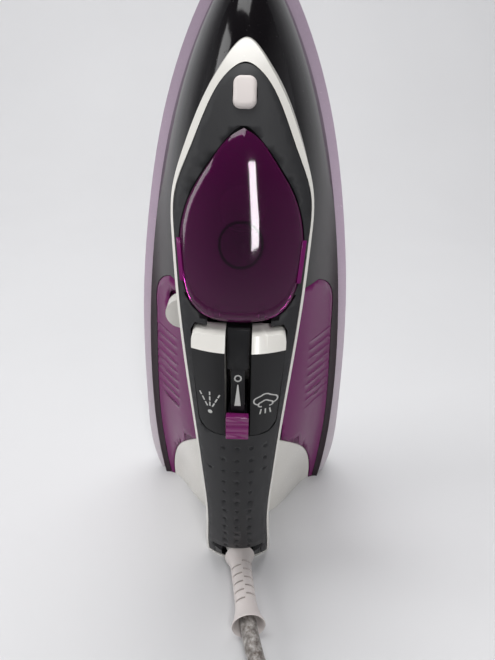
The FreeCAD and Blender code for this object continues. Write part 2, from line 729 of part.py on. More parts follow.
def handle():
    wall, cover = size("shellWall"), size("coverThick")
    grown = bodySolid(-gap, skirtTop)
    outline = prism(planEdges(0.0), 20, 160)
    solid = sideSlab(0, 0, floor=30).common(outline).cut(fingerGap(0.0)).common(aboveHeel(0.0))
    cavity = sideSlab(0, 0.5 - cover, floor=20).common(prism(planEdges(wall), 10, 160))
    cavity = cavity.cut(fingerGap(wall)).common(aboveHeel(wall))
    seat = sideSlab(-cover, 5).common(prism(planEdges(size("whiteRim"), 7.0), 20, 160))
    seat = seat.common(aboveHeel(wall))
    notch = notchTool()
    shell = solid.cut(grown).cut(cavity).cut(seat).cut(notch).cut(socketRoom()).cut(nozzlePrism(gap))
    shaped("handle_shell", max(shell.Solids, key=lambda piece: piece.Volume))
    top = sideSlab(-cover + 0.02, 0).common(prism(planEdges(size("whiteRim") + 0.25, 7.6), 20, 160))
    top = top.common(aboveHeel(wall + 0.2))
    top = top.cut(prism(lidEdges(size("lidGap")), 60, 160)).cut(prism(bayEdges(0.0), 60, 160))
    top = top.cut(notch).cut(socketRoom()).cut(nozzlePrism(gap)).cut(hingeBar(size("lidSweep"), 12))
    rearRoom = prism(lidEdges(size("lidGap") + 0.9), 60, 160)
    rearRoom = rearRoom.common(Part.makeBox(12, 60, 120, Vector(size("hingeX") - 6, -30, 50)))
    top = top.cut(rearRoom).cut(hingeBar(2.2, 15))
    shaped("handle_cover", max(top.Solids, key=lambda piece: piece.Volume))


def hingeBar(radius, side):
    """A bar on the lid's hinge line, reaching the same distance to the left and right."""
    x = size("hingeX")
    z = backHeight(x) - size("hingeDrop")
    return Part.makeCylinder(radius, 2 * side, Vector(x, -side, z), Vector(0, 1, 0))


def fillerTray():
    """Tray under the lid that leads water to the filler neck, with the two ears of the lid's pin."""
    depth = size("trayDepth")
    inSide = prism(planEdges(size("shellWall") + gap), 40, 160)
    outside = sideSlab(-depth - 1.4, -size("coverThick")).common(prism(lidEdges(1.0), 50, 160))
    inside = sideSlab(-depth, 5).common(prism(lidEdges(-0.6), 50, 160))
    tray = outside.common(inSide).cut(inside).cut(neckCylinder(size("neckRadius") + gap, -20, 20))
    tray = tray.cut(hingeBar(size("lidSweep"), 12))
    x, near = size("hingeX"), size("hingeSide") + 0.4
    z = backHeight(x) - size("hingeDrop")
    ear = Part.makeBox(2.6, 2, 5.4, Vector(x - 1.3, near, z - 5.4))
    ear = ear.fuse(hingeBar(1.3, near + 2).cut(hingeBar(2, near)))
    ear = ear.fuse(Part.makeBox(2.6, 2, 5.4, Vector(x - 1.3, -near - 2, z - 5.4)))
    shaped("filler_tray", tray.fuse(ear).cut(hingeBar(size("pinRadius"), 20)))


def fillerLid():
    """Clear domed lid with a barrel under its rear edge, its pin, and the stopper that it carries."""
    x, side = size("hingeX"), size("hingeSide")
    edge = sideSlab(-size("lidThick"), size("lidRise") * 0.4).common(prism(lidEdges(0.0), 60, 160))
    dome = sideSlab(0, size("lidRise")).common(prism(lidEdges(-3.0), 60, 160))
    lid = edge.fuse(dome).fuse(hingeBar(size("barrelRadius"), side))
    top = backHeight(x) - 0.2
    for start in (side + 0.1, -side - 2.7):
        lid = lid.cut(Part.makeBox(8, 2.6, 20, Vector(x - 5.6, start, top - 20)))
    shaped("filler_lid", lid.cut(hingeBar(size("pinRadius") + size("pinFit"), 30)))
    pin = rod("lidPinRod", x, -side - 2.4, backHeight(x) - size("hingeDrop"), "Sizes.pinRadius",
              "2 * (Sizes.hingeSide + 2.4)", Rotation(Vector(1, 0, 0), -90))
    finish(pin, "lid_pin")
    plug = neckCylinder(size("neckBore") - 1.1, -2.0, size("trayDepth") - size("lidThick") - 0.4)
    disc = neckCylinder(size("neckRadius"), 0.6, 2.0)
    under = sideSlab(-30, -size("lidThick") - 0.05)
    shaped("lid_stopper", plug.fuse(disc).common(under))


def controlDeck():
    """Deck under the buttons: floor, end walls, and the middle strip that the slider runs along."""
    floor, thick = size("bayFloor"), size("bayFloorThick")
    rear, front = size("bayRear") - 1.5, size("bayFront") - 0.2
    stripTop = backHeight(140) - 0.6
    blockRear = size("pumpX") - 6.6
    base = Part.makeBox(front - rear, 34, thick, Vector(rear, -17, floor))
    slot = Part.makeBox(size("sliderTravel") + 12.2, 8.2, 30, Vector(122.6, -4.1, floor - 1))
    wall = Part.makeBox(1.2, 26, stripTop - 3.4 - floor, Vector(rear, -13, floor))
    block = Part.makeBox(front - blockRear, 8.4, backHeight(160) - floor - 1.0, Vector(blockRear, -4.2, floor))
    bridge = Part.makeBox(blockRear + 1 - rear, 5.2, 3.4, Vector(rear, -2.6, stripTop - 3.4))
    tail = Part.makeBox(122.2 - rear, 5.2, stripTop - floor, Vector(rear, -2.6, floor))
    deck = base.cut(slot).fuse([wall, block, bridge, tail])
    for side in (-1, 1):
        deck = deck.cut(column(size("pumpX"), side * size("pumpSide"), size("stemRadius") + 0.2, 90, 110))
    deck = deck.common(sideSlab(-60, -0.3)).common(prism(planEdges(size("shellWall") + gap), 60, 160))
    clear = sideSlab(-size("coverThick"), 20).cut(prism(bayEdges(-0.3), 60, 160))
    shaped("control_deck", deck.cut(clear).cut(hingeBar(size("lidSweep"), 12)))


def buttonProfile(low, high, rearLow, rearHigh, side, follow=0.0):
    """A button half, proud at the front and flush at the rear; its underside may follow the crown too."""
    rear = size("bayRear") + size("buttonGap")
    front = size("bayFront") - size("buttonGap") - size("buttonEase")
    sections = []
    for y in (5.0, 18.0):
        rearDrop, frontDrop = crownDrop(rear, y), crownDrop(front, y)
        start = Vector(rear, y, rearLow - follow * rearDrop)
        sections.append(Part.makePolygon([
            start, Vector(front, y, low - follow * frontDrop),
            Vector(front, y, min(high, low + 9.5) - frontDrop),
            Vector(front - 3.5, y, high - frontDrop), Vector(rear, y, rearHigh - rearDrop), start]))
    wedge = Part.makeLoft(sections, True, True)
    shape = wedge.common(prism(bayEdges(-size("buttonGap")), 60, 160))
    return shape if side > 0 else shape.mirror(Vector(0, 0, 0), Vector(0, 1, 0))


def button(name, side):
    """A push button with a light carrier and a dark cap, its stem and piston, pump and spring."""
    x, y = size("pumpX"), side * size("pumpSide")
    low = size("bayFloor") + size("bayFloorThick") + size("buttonTravel") + 0.4
    rearTop = backHeight(size("bayRear"))
    frontTop = backHeight(size("bayFront") - 4) + size("buttonRise")
    capThick = 1.4
    carrier = buttonProfile(low, frontTop - capThick, low, rearTop - capThick, side)
    shaped(name + "_button", carrier)
    cap = buttonProfile(frontTop - capThick, frontTop, rearTop - capThick, rearTop, side, 1.0)
    cap = cap.cut(carrier)
    shaped(name + "_button_cap", cap)
    crown = size("pumpBottom") + 14
    stem = rod(name + "Stem", x, y, crown, "Sizes.stemRadius", "%f" % (low - crown))
    piston = rod(name + "Crown", x, y, crown, "Sizes.pistonRadius", "4")
    finish(fuse(name + "PistonBody", [stem, piston]), name + "_piston")
    outer = rod(name + "Barrel", x, y, size("pumpBottom"), "Sizes.pumpRadius",
                "Sizes.bayFloor - Sizes.pumpBottom")
    bore = rod(name + "Bore", x, y, size("pumpBottom") + 2, "Sizes.pistonRadius + Sizes.pistonFit", "40")
    ports = [rod(name + "Port%d" % i, x + 3 * i, y, size("pumpBottom") - 1, "0.8", "5") for i in (-1, 1)]
    hollow = fuse(name + "Hollow", [bore] + ports)
    finish(cut(name + "PumpCut", outer, hollow), name + "_pump")
    shaped(name + "_spring", springShape(x, y, size("pumpBottom") + 2.1, crown - 0.1, 3.4, 0.5, 5))
    tubeLow = skirtTop + 6
    suction = rod(name + "Suction", x - 3, y, tubeLow, "Sizes.hoseRadius", "Sizes.pumpBottom - %f" % tubeLow)
    straw = rod(name + "Straw", x - 3, y, tubeLow - 1, "0.9", "Sizes.pumpBottom - %f" % (tubeLow - 2))
    finish(cut(name + "SuctionCut", suction, straw), name + "_suction_tube")


def slider():
    """Variable-steam slider: thumb piece, link with its ramp, needle and needle spring."""
    top = backHeight(140)
    plate = Part.makeBox(11, 9, 2.6, Vector(123, -4.5, top + 0.4))
    teeth = [Part.makeBox(1.6, 9, 0.7, Vector(x, -4.5, top + 3.0)) for x in (123, 132.4)]
    shaped("steam_slider", plate.fuse(teeth))
    linkTop = size("linkTop")
    slope = size("needleTravel") / size("sliderTravel")
    pieces = [Part.makeBox(11, 0.8, top + 0.4 - linkTop + 2, Vector(123, y, linkTop - 2)) for y in (-3.7, 2.9)]
    wide = Part.makeBox(11, 7.4, 2, Vector(123, -3.7, linkTop - 2))
    bar = Part.makeBox(size("pumpX") + 5 - 123, 6.4, 2, Vector(123, -3.2, linkTop - 2))
    contact = linkTop - 2.4
    low, high = size("pumpX") - size("sliderTravel") - 4, size("pumpX") + 5
    ramp = Part.Face(Part.makePolygon([
        Vector(low, 0, linkTop - 2), Vector(high, 0, linkTop - 2),
        Vector(high, 0, contact + slope * (high - size("pumpX"))),
        Vector(low, 0, contact + slope * (low - size("pumpX"))), Vector(low, 0, linkTop - 2)]))
    ramp = ramp.extrude(Vector(0, 6.4, 0))
    ramp.translate(Vector(0, -3.2, 0))
    shaped("slider_link", bar.fuse(pieces + [wide, ramp]))
    headRadius, headHigh = 2.9, 2.0
    headTop = contact - slope * headRadius - 0.15
    seatTop = size("castingTop") + size("coverPlate") + 3
    body = revolved("steam_needle", [
        (0, seatTop), (size("needleRadius"), seatTop), (size("needleRadius"), headTop - headHigh),
        (headRadius, headTop - headHigh), (headRadius, headTop), (0, headTop)])
    body.Placement = Placement(Vector(size("pumpX"), 0, 0), Rotation())
    finish(body, "steam_needle")
    sealTop = size("crownHeight") + 6
    shaped("needle_spring", springShape(size("pumpX"), 0, sealTop + 0.1, headTop - headHigh - 0.1, 2.3, 0.45, 7))
    gland = rod("glandOuter", size("pumpX"), 0, sealTop - 12, "3.2", "12")
    bore = rod("glandBore", size("pumpX"), 0, sealTop - 13, "Sizes.needleRadius + Sizes.pistonFit", "14")
    finish(cut("glandCut", gland, bore), "needle_gland")


def sprayNozzle():
    """Raised spray nozzle with its jet at the nose end."""
    block = nozzlePrism(0.0)
    x = size("nozzleX")
    jet = Part.makeCylinder(0.8, 30, Vector(x, 0, backHeight(x) - 6), Vector(1, 0, 0.12))
    shaped("spray_nozzle", block.cut(jet))


def hoses():
    """Spray hose from its pump to the nozzle, and steam tube from its pump to the chamber."""
    x, y, low = size("pumpX") + 3, size("pumpSide"), size("pumpBottom")
    level = low - 6.5
    end = backHeight(size("nozzleX")) - 2.8
    route = [Vector(x, y, low), Vector(x, y, low - 4.5), Vector(x + 9, y + 2.8, level),
             Vector(x + 37, y + 3.3, level), Vector(x + 59, y - 1.2, level + 1.5),
             Vector(size("nozzleX") - 15, 1.5, end - 0.6), Vector(size("nozzleX") - 10, 0, end)]
    shaped("spray_hose", tube(route, size("hoseRadius"), 0.9)[0])
    bottom = size("castingTop") + size("coverPlate")
    outer = rod("steamTubeOuter", x, -y, bottom, "Sizes.hoseRadius", "Sizes.pumpBottom - %f" % bottom)
    inner = rod("steamTubeInner", x, -y, bottom - 1, "0.9", "Sizes.pumpBottom - %f" % (bottom - 2))
    finish(cut("steamTubeCut", outer, inner), "steam_tube")


# ---------------------------------------------------------------- wiring and cord

def wiring():
    """Terminal block, thermal fuse and the wires between them, all in the heel."""
    block = box("terminalBlock", 10, -12, 30, ["14", "24", "12"])
    finish(block, "terminal_block")
    fuseBody = rod("fuseRod", 30, -9, skirtTop + 1.8, "2.2", "18", Rotation(Vector(1, 0, 0), -90))
    bracket = box("fuseBracket", 28, -3, skirtTop - 0.6, ["4", "6", "2"])
    finish(fuse("thermalFuseBody", [fuseBody, bracket]), "thermal_fuse")
    for side, name in ((1, "left"), (-1, "right")):
        end = elementRoute[0]
        route = [Vector(end.x, side * end.y, end.z), Vector(end.x, side * end.y, end.z + 6),
                 Vector(17, side * 22, 36), Vector(17, side * 12, 36)]
        shaped("element_wire_" + name, tube(route, 1.2)[0])
    ball = stand.inverse().multVec(swivelAxis(0))
    route = [Vector(17, 0, 42), Vector(17, 0, 50), Vector(20, 0, 60), Vector(ball.x + 0.6, 0, 71),
             Vector(ball.x, 0, ball.z - 7.4)]
    shaped("inner_lead", tube(route, 3.0)[0])


def swivelAxis(distance):
    """A point on the guard's axis at a distance from the ball's centre, in the standing frame."""
    yaw = math.radians(size("swivelYaw"))
    return Vector(distance * math.sin(yaw), size("ballY") - distance * math.cos(yaw), size("ballZ"))


def swivel():
    """Ball, guard and the socket that lets them swing left and right."""
    centre = swivelAxis(0)
    face, side = size("socketFace"), size("socketSide")
    block = Part.makeBox(2 * side, face + 6, 14.4, Vector(-side, size("ballY") - face, 2.7))
    room = Part.makeSphere(size("ballRadius") + size("ballFit"), centre)
    slot = Part.makeBox(17, face + 1, 11.2, Vector(-8.5, size("ballY") - face - 1, size("ballZ") - 5.6))
    back = Part.makeBox(10, 20, 9, Vector(-5, size("ballY"), size("ballZ") - 4.5))
    block = block.cut(room).cut(slot).cut(back)
    block = standing(block).common(sideSlab(-60, -0.2))
    shaped("swivel_socket", block)
    along = swivelAxis(1).sub(centre)
    ball = Part.makeSphere(size("ballRadius"), centre)
    bore = Part.makeCylinder(size("cordRadius") - 0.5, 60, swivelAxis(-20), along)
    start = 6.4
    ball = ball.cut(Part.makeCylinder(20, 20, swivelAxis(start), along))
    shaped("swivel_ball", ball.cut(bore), placed=False)
    collar, neck, bell, reach = (size(n) for n in ("collarRadius", "guardRadius", "bellRadius", "guardLength"))
    guard = Part.makeCylinder(neck, reach - start, swivelAxis(start), along)
    guard = guard.fuse(Part.makeCone(collar, neck, 5.0, swivelAxis(9.2), along))
    guard = guard.fuse(Part.makeCone(neck, bell, 6.0, swivelAxis(reach - 8), along))
    guard = guard.fuse(Part.makeCylinder(bell, 2.0, swivelAxis(reach - 2), along))
    through = Part.makeCylinder(size("cordRadius") - 0.5, 80, swivelAxis(0), along)
    seat = Part.makeCylinder(size("cordRadius") + 0.1, 9, swivelAxis(reach - 8), along)
    shaped("cord_guard", guard.cut(through).cut(seat), placed=False)


def cordRoute():
    """The cord's route on the floor, from inside the guard to the coil."""
    exit = swivelAxis(size("guardLength") - 8)
    along = swivelAxis(size("guardLength") + 10)
    return [exit, along, Vector(15.5, -122, 6.4), Vector(27.5, -142, 4.2), Vector(37, -163, 4.1)]


def cord():
    radii = []
    route = cordRoute()
    radius = size("cordRadius")
    solid, reach = tube(route, radius, report=radii)
    print("cord arc radii", [round(r, 1) for r in radii])
    print("cord tube volume over section times length", round(solid.Volume / (math.pi * radius ** 2 * reach), 5))
    shaped("cord", solid.cut(coilSolid()), placed=False)
    shaped("cord_coil", coilSolid(), placed=False)


def coilSolid():
    """Outer shape of the put-away turns."""
    wide, high, middle = size("coilWide") / 2, size("coilHigh"), size("coilRadius")
    radius = size("cordRadius")
    low, top, inner, outer = 0.0, high, middle - wide, middle + wide
    corner = radius * (1 - math.sqrt(0.5))
    points = [(inner + radius, low), (outer - radius, low), (outer, low + radius), (outer, top - radius),
              (outer - radius, top), (inner + radius, top), (inner, top - radius), (inner, low + radius)]
    corners = {1: (outer - corner, low + corner), 3: (outer - corner, top - corner),
               5: (inner + corner, top - corner), 7: (inner + corner, low + corner)}
    edges = []
    for i, (a, b) in enumerate(zip(points, points[1:] + points[:1])):
        start, end = Vector(a[0], 0, a[1]), Vector(b[0], 0, b[1])
        if i in corners:
            via = Vector(corners[i][0], 0, corners[i][1])
            edges.append(Part.Arc(start, via, end).toShape())
        else:
            edges.append(Part.makeLine(start, end))
    face = Part.Face(Part.Wire(edges))
    solid = face.revolve(Vector(0, 0, 0), Vector(0, 0, 1), 360)
    solid.translate(Vector(size("coilX"), size("coilY"), 0))
    return solid


def cordTie():
    """A band round the coil's turns."""
    thick = size("tieThick")
    side = size("coilWide") / 2
    middle = Vector(size("coilX") - size("coilRadius"), size("coilY"), 0)
    outer = Part.makeBox(2 * side + 2 * thick, 12, size("coilHigh") + thick,
                         Vector(middle.x - side - thick, middle.y - 6, 0))
    inner = Part.makeBox(2 * side, 14, size("coilHigh") - thick,
                         Vector(middle.x - side, middle.y - 7, thick))
    shaped("cord_tie", outer.cut(inner), placed=False)


def plug():
    """Earthed mains plug that lies on the coil, its round pins pointing away from the cord."""
    lengthways, wide, high = size("plugLength"), size("plugWide"), size("plugHigh")
    tail = Vector(size("coilX") + 12, size("coilY") - size("coilRadius"), size("coilHigh"))
    outline = [(0, 5.5), (8, 7), (16, wide / 2 - 3), (20, wide / 2), (lengthways, wide / 2)]
    left = [Vector(tail.x - a, tail.y + b, 0) for a, b in outline]
    right = [Vector(tail.x - a, tail.y - b, 0) for a, b in outline]
    wire = Part.makePolygon(left + right[::-1] + left[:1])
    solid = Part.Face(wire).extrude(Vector(0, 0, high))
    solid.translate(Vector(0, 0, tail.z))
    axis = tail.z + high / 2
    upper = Part.Face(Part.makePolygon([
        Vector(tail.x + 1, 0, axis + 5.5), Vector(tail.x - 18, 0, tail.z + high),
        Vector(tail.x + 1, 0, tail.z + high), Vector(tail.x + 1, 0, axis + 5.5)]))
    upper = upper.extrude(Vector(0, 60, 0))
    upper.translate(Vector(0, tail.y - 30, 0))
    solid = solid.cut(upper)
    shaped("plug_body", solid, placed=False)
    pins = []
    for i, side in enumerate((-1, 1)):
        start = Vector(tail.x - lengthways, tail.y + side * size("prongSpacing") / 2, axis)
        pin = rod("prong%d" % i, 0, 0, 0, "Sizes.prongRadius", "Sizes.prongLength")
        pin.Placement = Placement(start, Rotation(Vector(0, 1, 0), -90))
        pins.append(pin)
    group = doc.addObject("Part::Compound", "prongGroup")
    group.Links = pins
    finish(group, "plug_pins", placed=False)


# ---------------------------------------------------------------- build, check and write

def checkDocument():
    doc.recompute()
    failed = [o.Name for o in doc.Objects if "Invalid" in o.State or "Error" in o.State]
    bad = [p.Label for p in parts if p.Shape.isNull() or not p.Shape.isValid() or not p.Shape.Solids]
    if failed or bad:
        raise RuntimeError("failed objects %s, bad shapes %s" % (failed, bad))


def writeParts():
    os.makedirs("parts", exist_ok=True)
    for p in parts:
        p.Shape.exportStep("parts/%s.step" % p.Label)
        print(p.Label, len(p.Shape.Solids), round(p.Shape.Volume))


for make in (soleSkin, soleplate, heatingElement, chamberCover, skirt, heatShield, soleScrews,
             bodyShells, waterTank, fillerNeck, valveSeat, thermostat, temperatureDial, selfClean,
             handle, fillerTray, fillerLid, controlDeck, slider, sprayNozzle, hoses, wiring, swivel,
             cord, cordTie, plug):
    make()
    doc.recompute()
for buttonName, buttonSide in (("spray", 1), ("steam", -1)):
    button(buttonName, buttonSide)
checkDocument()
writeParts()
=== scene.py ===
import math
import bmesh
import bpy
from mathutils import Matrix, Vector


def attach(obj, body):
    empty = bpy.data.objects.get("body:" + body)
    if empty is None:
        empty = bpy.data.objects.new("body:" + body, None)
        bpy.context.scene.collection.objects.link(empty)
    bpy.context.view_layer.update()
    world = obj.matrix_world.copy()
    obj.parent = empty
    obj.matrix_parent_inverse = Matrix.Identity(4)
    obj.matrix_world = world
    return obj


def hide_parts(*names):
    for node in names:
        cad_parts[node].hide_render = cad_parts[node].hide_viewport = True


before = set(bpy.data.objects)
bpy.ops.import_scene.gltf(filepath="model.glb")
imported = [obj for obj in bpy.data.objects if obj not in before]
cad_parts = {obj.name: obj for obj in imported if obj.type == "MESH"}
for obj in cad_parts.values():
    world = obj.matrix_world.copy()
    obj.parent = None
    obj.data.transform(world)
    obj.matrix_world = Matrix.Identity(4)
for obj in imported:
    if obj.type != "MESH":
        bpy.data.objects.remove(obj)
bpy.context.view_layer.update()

mm = 0.001

# The iron is drawn lying on its sole (x heel to nose, y to its left, z up) and then stood up.
iron = {"length": 298.0, "lean": 5.0, "shift": 46.0}
lean = math.radians(iron["lean"])
standUp = Matrix((
    (0, -mm, 0, 0),
    (-math.sin(lean) * mm, 0, -math.cos(lean) * mm, iron["shift"] * mm),
    (math.cos(lean) * mm, 0, -math.sin(lean) * mm, 0),
    (0, 0, 0, 1)))


# shader sums written as plain expressions

class Wire:
    def __init__(self, finish, socket):
        self.finish, self.socket = finish, socket

    def maths(self, operation, first, second=0.0):
        return self.finish.node("Math", {"operation": operation}, {0: first, 1: second})

    def __add__(self, other): return self.maths("ADD", self, other)
    def __radd__(self, other): return self.maths("ADD", other, self)
    def __sub__(self, other): return self.maths("SUBTRACT", self, other)
    def __rsub__(self, other): return self.maths("SUBTRACT", other, self)
    def __mul__(self, other): return self.maths("MULTIPLY", self, other)
    def __rmul__(self, other): return self.maths("MULTIPLY", other, self)
    def __truediv__(self, other): return self.maths("DIVIDE", self, other)
    def __pow__(self, other): return self.maths("POWER", self, other)
    def __mod__(self, other): return self.maths("FLOORED_MODULO", self, other)
    def __gt__(self, other): return self.maths("GREATER_THAN", self, other)
    def __lt__(self, other): return self.maths("LESS_THAN", self, other)
    def sine(self): return self.maths("SINE", self)
    def size(self): return self.maths("ABSOLUTE", self)


class Finish:
    def __init__(self, name, **flat):
        self.material = bpy.data.materials.new(name)
        self.material.use_nodes = True
        self.tree = self.material.node_tree
        self.shader = self.tree.nodes["Principled BSDF"]
        for socket, value in flat.items():
            self.set(socket, value)

    def node(self, kind, settings=None, inputs=None, output=0):
        made = self.tree.nodes.new("ShaderNode" + kind)
        for name, value in (settings or {}).items():
            if name == "stops":
                for stop, (place, shade) in zip(made.color_ramp.elements, value):
                    stop.position, stop.color = place, shade
                for place, shade in value[2:]:
                    made.color_ramp.elements.new(place).color = shade
            else:
                setattr(made, name, value)
        for name, value in (inputs or {}).items():
            self.link(made.inputs[name], value)
        return Wire(self, made.outputs[output])

    def link(self, socket, value):
        if isinstance(value, Wire):
            self.tree.links.new(value.socket, socket)
        else:
            socket.default_value = value

    def set(self, socket, value):
        self.link(self.shader.inputs[socket.replace("_", " ")], value)
        return self

    def place(self, scale=(1, 1, 1), turn=(0, 0, 0), shift=(0, 0, 0), kind="Object"):
        coords = self.node("TexCoord", output=kind)
        return self.node("Mapping", inputs={"Vector": coords, "Scale": scale, "Rotation": turn, "Location": shift})

    def noise(self, scale, detail=3.0, rough=0.5, vector=None):
        vector = vector or self.node("TexCoord", output="Object")
        return self.node("TexNoise", inputs={"Vector": vector, "Scale": scale, "Detail": detail, "Roughness": rough})

    def specks(self, scale, reach, vector=None):
        vector = vector or self.node("TexCoord", output="Object")
        near = self.node("TexVoronoi", inputs={"Vector": vector, "Scale": scale}, output="Distance")
        return near < reach

    def blend(self, amount, first, second):
        return self.node("Mix", {"data_type": "RGBA"}, {0: amount, 6: first, 7: second}, output=2)

    def bump(self, height, depth, strength=1.0):
        return self.node("Bump", inputs={"Height": height, "Distance": depth, "Strength": strength})


def shade(red, green, blue):
    return (red, green, blue, 1.0)


def moulded(name, colour, rough, grain=0.00002, scale=900.0, **flat):
    # moulded plastic: faint flow in the colour, dust and hairline wear in the gloss, fine grain in the bump
    made = Finish(name, **flat)
    flow = made.noise(38.0, 2.0)
    dust = made.specks(420.0, 0.12)
    lighter = tuple(min(1.0, c * 1.10 + 0.003) for c in colour[:3]) + (1.0,)
    darker = tuple(c * 0.92 for c in colour[:3]) + (1.0,)
    made.set("Base Color", made.blend(flow, darker, lighter))
    wear = made.noise(210.0, 4.0, 0.6, made.place(scale=(1.0, 1.0, 0.18)))
    made.set("Roughness", rough + (wear - 0.5) * (rough * 0.35) + dust * 0.10)
    made.set("Normal", made.bump(made.noise(scale, 3.0), grain))
    return made


def metal(name, colour, rough, stretch=(1, 1, 1), scale=700.0):
    made = Finish(name, Metallic=1.0)
    lines = made.noise(scale, 4.0, 0.6, made.place(scale=stretch))
    darker = tuple(c * 0.93 for c in colour[:3]) + (1.0,)
    made.set("Base Color", made.blend(lines, darker, colour))
    made.set("Roughness", rough * 0.75 + lines * (rough * 0.5))
    made.set("Normal", made.bump(lines, 0.00001))
    return made


def ringed(made, middle, scale):
    # 1 at a middle point, falling to 0 at a distance of 1 / scale along each axis
    shift = tuple(-m * k for m, k in zip(middle, scale))
    return made.node("TexGradient", {"gradient_type": "SPHERICAL"},
                     {"Vector": made.place(scale=scale, shift=shift)}, output=1)


def lensPlastic(name):
    # tinted see-through plastic: deeper colour in the middle than at the rim, a painted shade ring where the stopper
    # lies beneath, faint scratches in the gloss
    made = Finish(name, Transmission_Weight=0.82, IOR=1.38, Coat_Weight=0.35, Coat_Roughness=0.03)
    core = ringed(made, lensGlow["middle"], lensGlow["scale"])
    tint = made.blend(core, shade(0.30, 0.016, 0.20), shade(0.115, 0.010, 0.085))
    cloud = made.noise(60.0, 2.0)
    tint = made.blend(cloud * 0.30, tint, shade(0.20, 0.014, 0.14))
    # painted shade: a dark ring and a darker disc where the stopper lies under the lid stand in for the stopper seen
    # through the plastic
    across, up = lensGlow["stopper"]
    tall = lensGlow["tall"]  # the ring looks round from square on to the sloping lid
    seen = made.place(scale=(1, 0, tall), shift=(-across, 0, -tall * up))
    spot = made.node("VectorMath", {"operation": "LENGTH"}, {0: seen}, output=1)
    rim = (spot - lensGlow["ring"]).size() < lensGlow["ringHalf"]
    darker = rim * 0.75 + (spot < lensGlow["ring"]) * 0.25
    made.set("Base Color", made.blend(darker, tint, shade(0.035, 0.003, 0.03)))
    hair = made.noise(150.0, 5.0, 0.7, made.place(scale=(1.0, 1.0, 0.10)))
    made.set("Roughness", 0.04 + hair * 0.05 + made.specks(520.0, 0.10) * 0.18)
    made.set("Normal", made.bump(hair, 0.000003))
    return made


def hoodGloss(name):
    # deep black gloss with painted wine-red light low on the flanks and a fine moulding line along the middle
    made = Finish(name, Specular_IOR_Level=0.42)
    x = made.node("SeparateXYZ", inputs={0: made.node("TexCoord", output="Object")})
    flank = made.node("MapRange", inputs={"Value": x.size(), "From Min": 0.030, "From Max": 0.056})
    cloud = made.noise(30.0, 2.0)
    # painted light: the wine-red tint toward the flanks stands in for the reddish light seen at the hood's edges
    paintedEdgeLight = flank * (0.5 + cloud * 0.5)
    made.set("Base Color", made.blend(paintedEdgeLight, shade(0.0055, 0.0045, 0.0055), shade(0.028, 0.004, 0.016)))
    wear = made.noise(160.0, 4.0, 0.6, made.place(scale=(1.0, 1.0, 0.15)))
    made.set("Roughness", 0.09 + wear * 0.05 + made.specks(380.0, 0.10) * 0.22)
    seam = x.size() < 0.00018
    made.set("Normal", made.bump(made.noise(120.0, 2.0) * 0.15 - seam, 0.00003))
    return made


def braid(name):
    # woven cotton jacket: two families of yarns crossing round the cord, grey with brown and white flecks
    made = Finish(name, Sheen_Weight=0.25, Sheen_Roughness=0.5)
    along = made.node("UVMap")
    u = made.node("SeparateXYZ", inputs={0: along})
    v = made.node("SeparateXYZ", inputs={0: along}, output=1)
    left = (u * braidYarn["alongCount"] + v * braidYarn["roundCount"]) % 1.0
    right = (u * braidYarn["alongCount"] - v * braidYarn["roundCount"]) % 1.0
    over = ((u * braidYarn["alongCount"]) % 1.0) > 0.5
    crossing = left * over + right * (1.0 - over)
    yarn = 1.0 - (crossing - 0.5).size() * 2.0
    fleck = made.noise(620.0, 2.0, 0.6)
    stops = [(0.30, shade(0.13, 0.10, 0.085)), (0.72, shade(0.62, 0.59, 0.56)),
             (0.46, shade(0.33, 0.30, 0.28)), (0.60, shade(0.45, 0.43, 0.41))]
    tone = made.node("ValToRGB", {"stops": stops}, {0: fleck})
    # painted shade: the colour darkens toward the grooves between the yarns
    made.set("Base Color", made.blend(0.35 + yarn * 0.65, shade(0.09, 0.075, 0.065), tone))
    made.set("Roughness", 0.86 - yarn * 0.12)
    made.set("Normal", made.bump(yarn, 0.00025))
    return made


def pearl(name):
    # white skirt with painted light: painted purple reflection and shade give the mauve, deepening upward, a painted
    # highlight gives the paler sliver beside the steel, fine mica
    made = Finish(name, Coat_Weight=0.35, Coat_Roughness=0.05)
    y = made.node("SeparateXYZ", inputs={0: made.node("TexCoord", output="Object")}, output=1)
    # painted highlight: the colour pales toward the steel
    height = made.node("MapRange", inputs={"Value": y, "From Min": skirtPaintedLight["from"], "From Max": skirtPaintedLight["to"]})
    mica = made.noise(900.0, 2.0)
    # painted purple reflection and shade: the mauve that the white skirt shows
    deep = made.blend(mica * 0.5, shade(0.60, 0.46, 0.59), shade(0.68, 0.56, 0.67))
    made.set("Base Color", made.blend(height, deep, shade(0.80, 0.75, 0.78)))
    made.set("Roughness", 0.20 + mica * 0.10)
    made.set("Metallic", 0.15 + mica * 0.15)
    made.set("Normal", made.bump(mica, 0.000008))
    return made


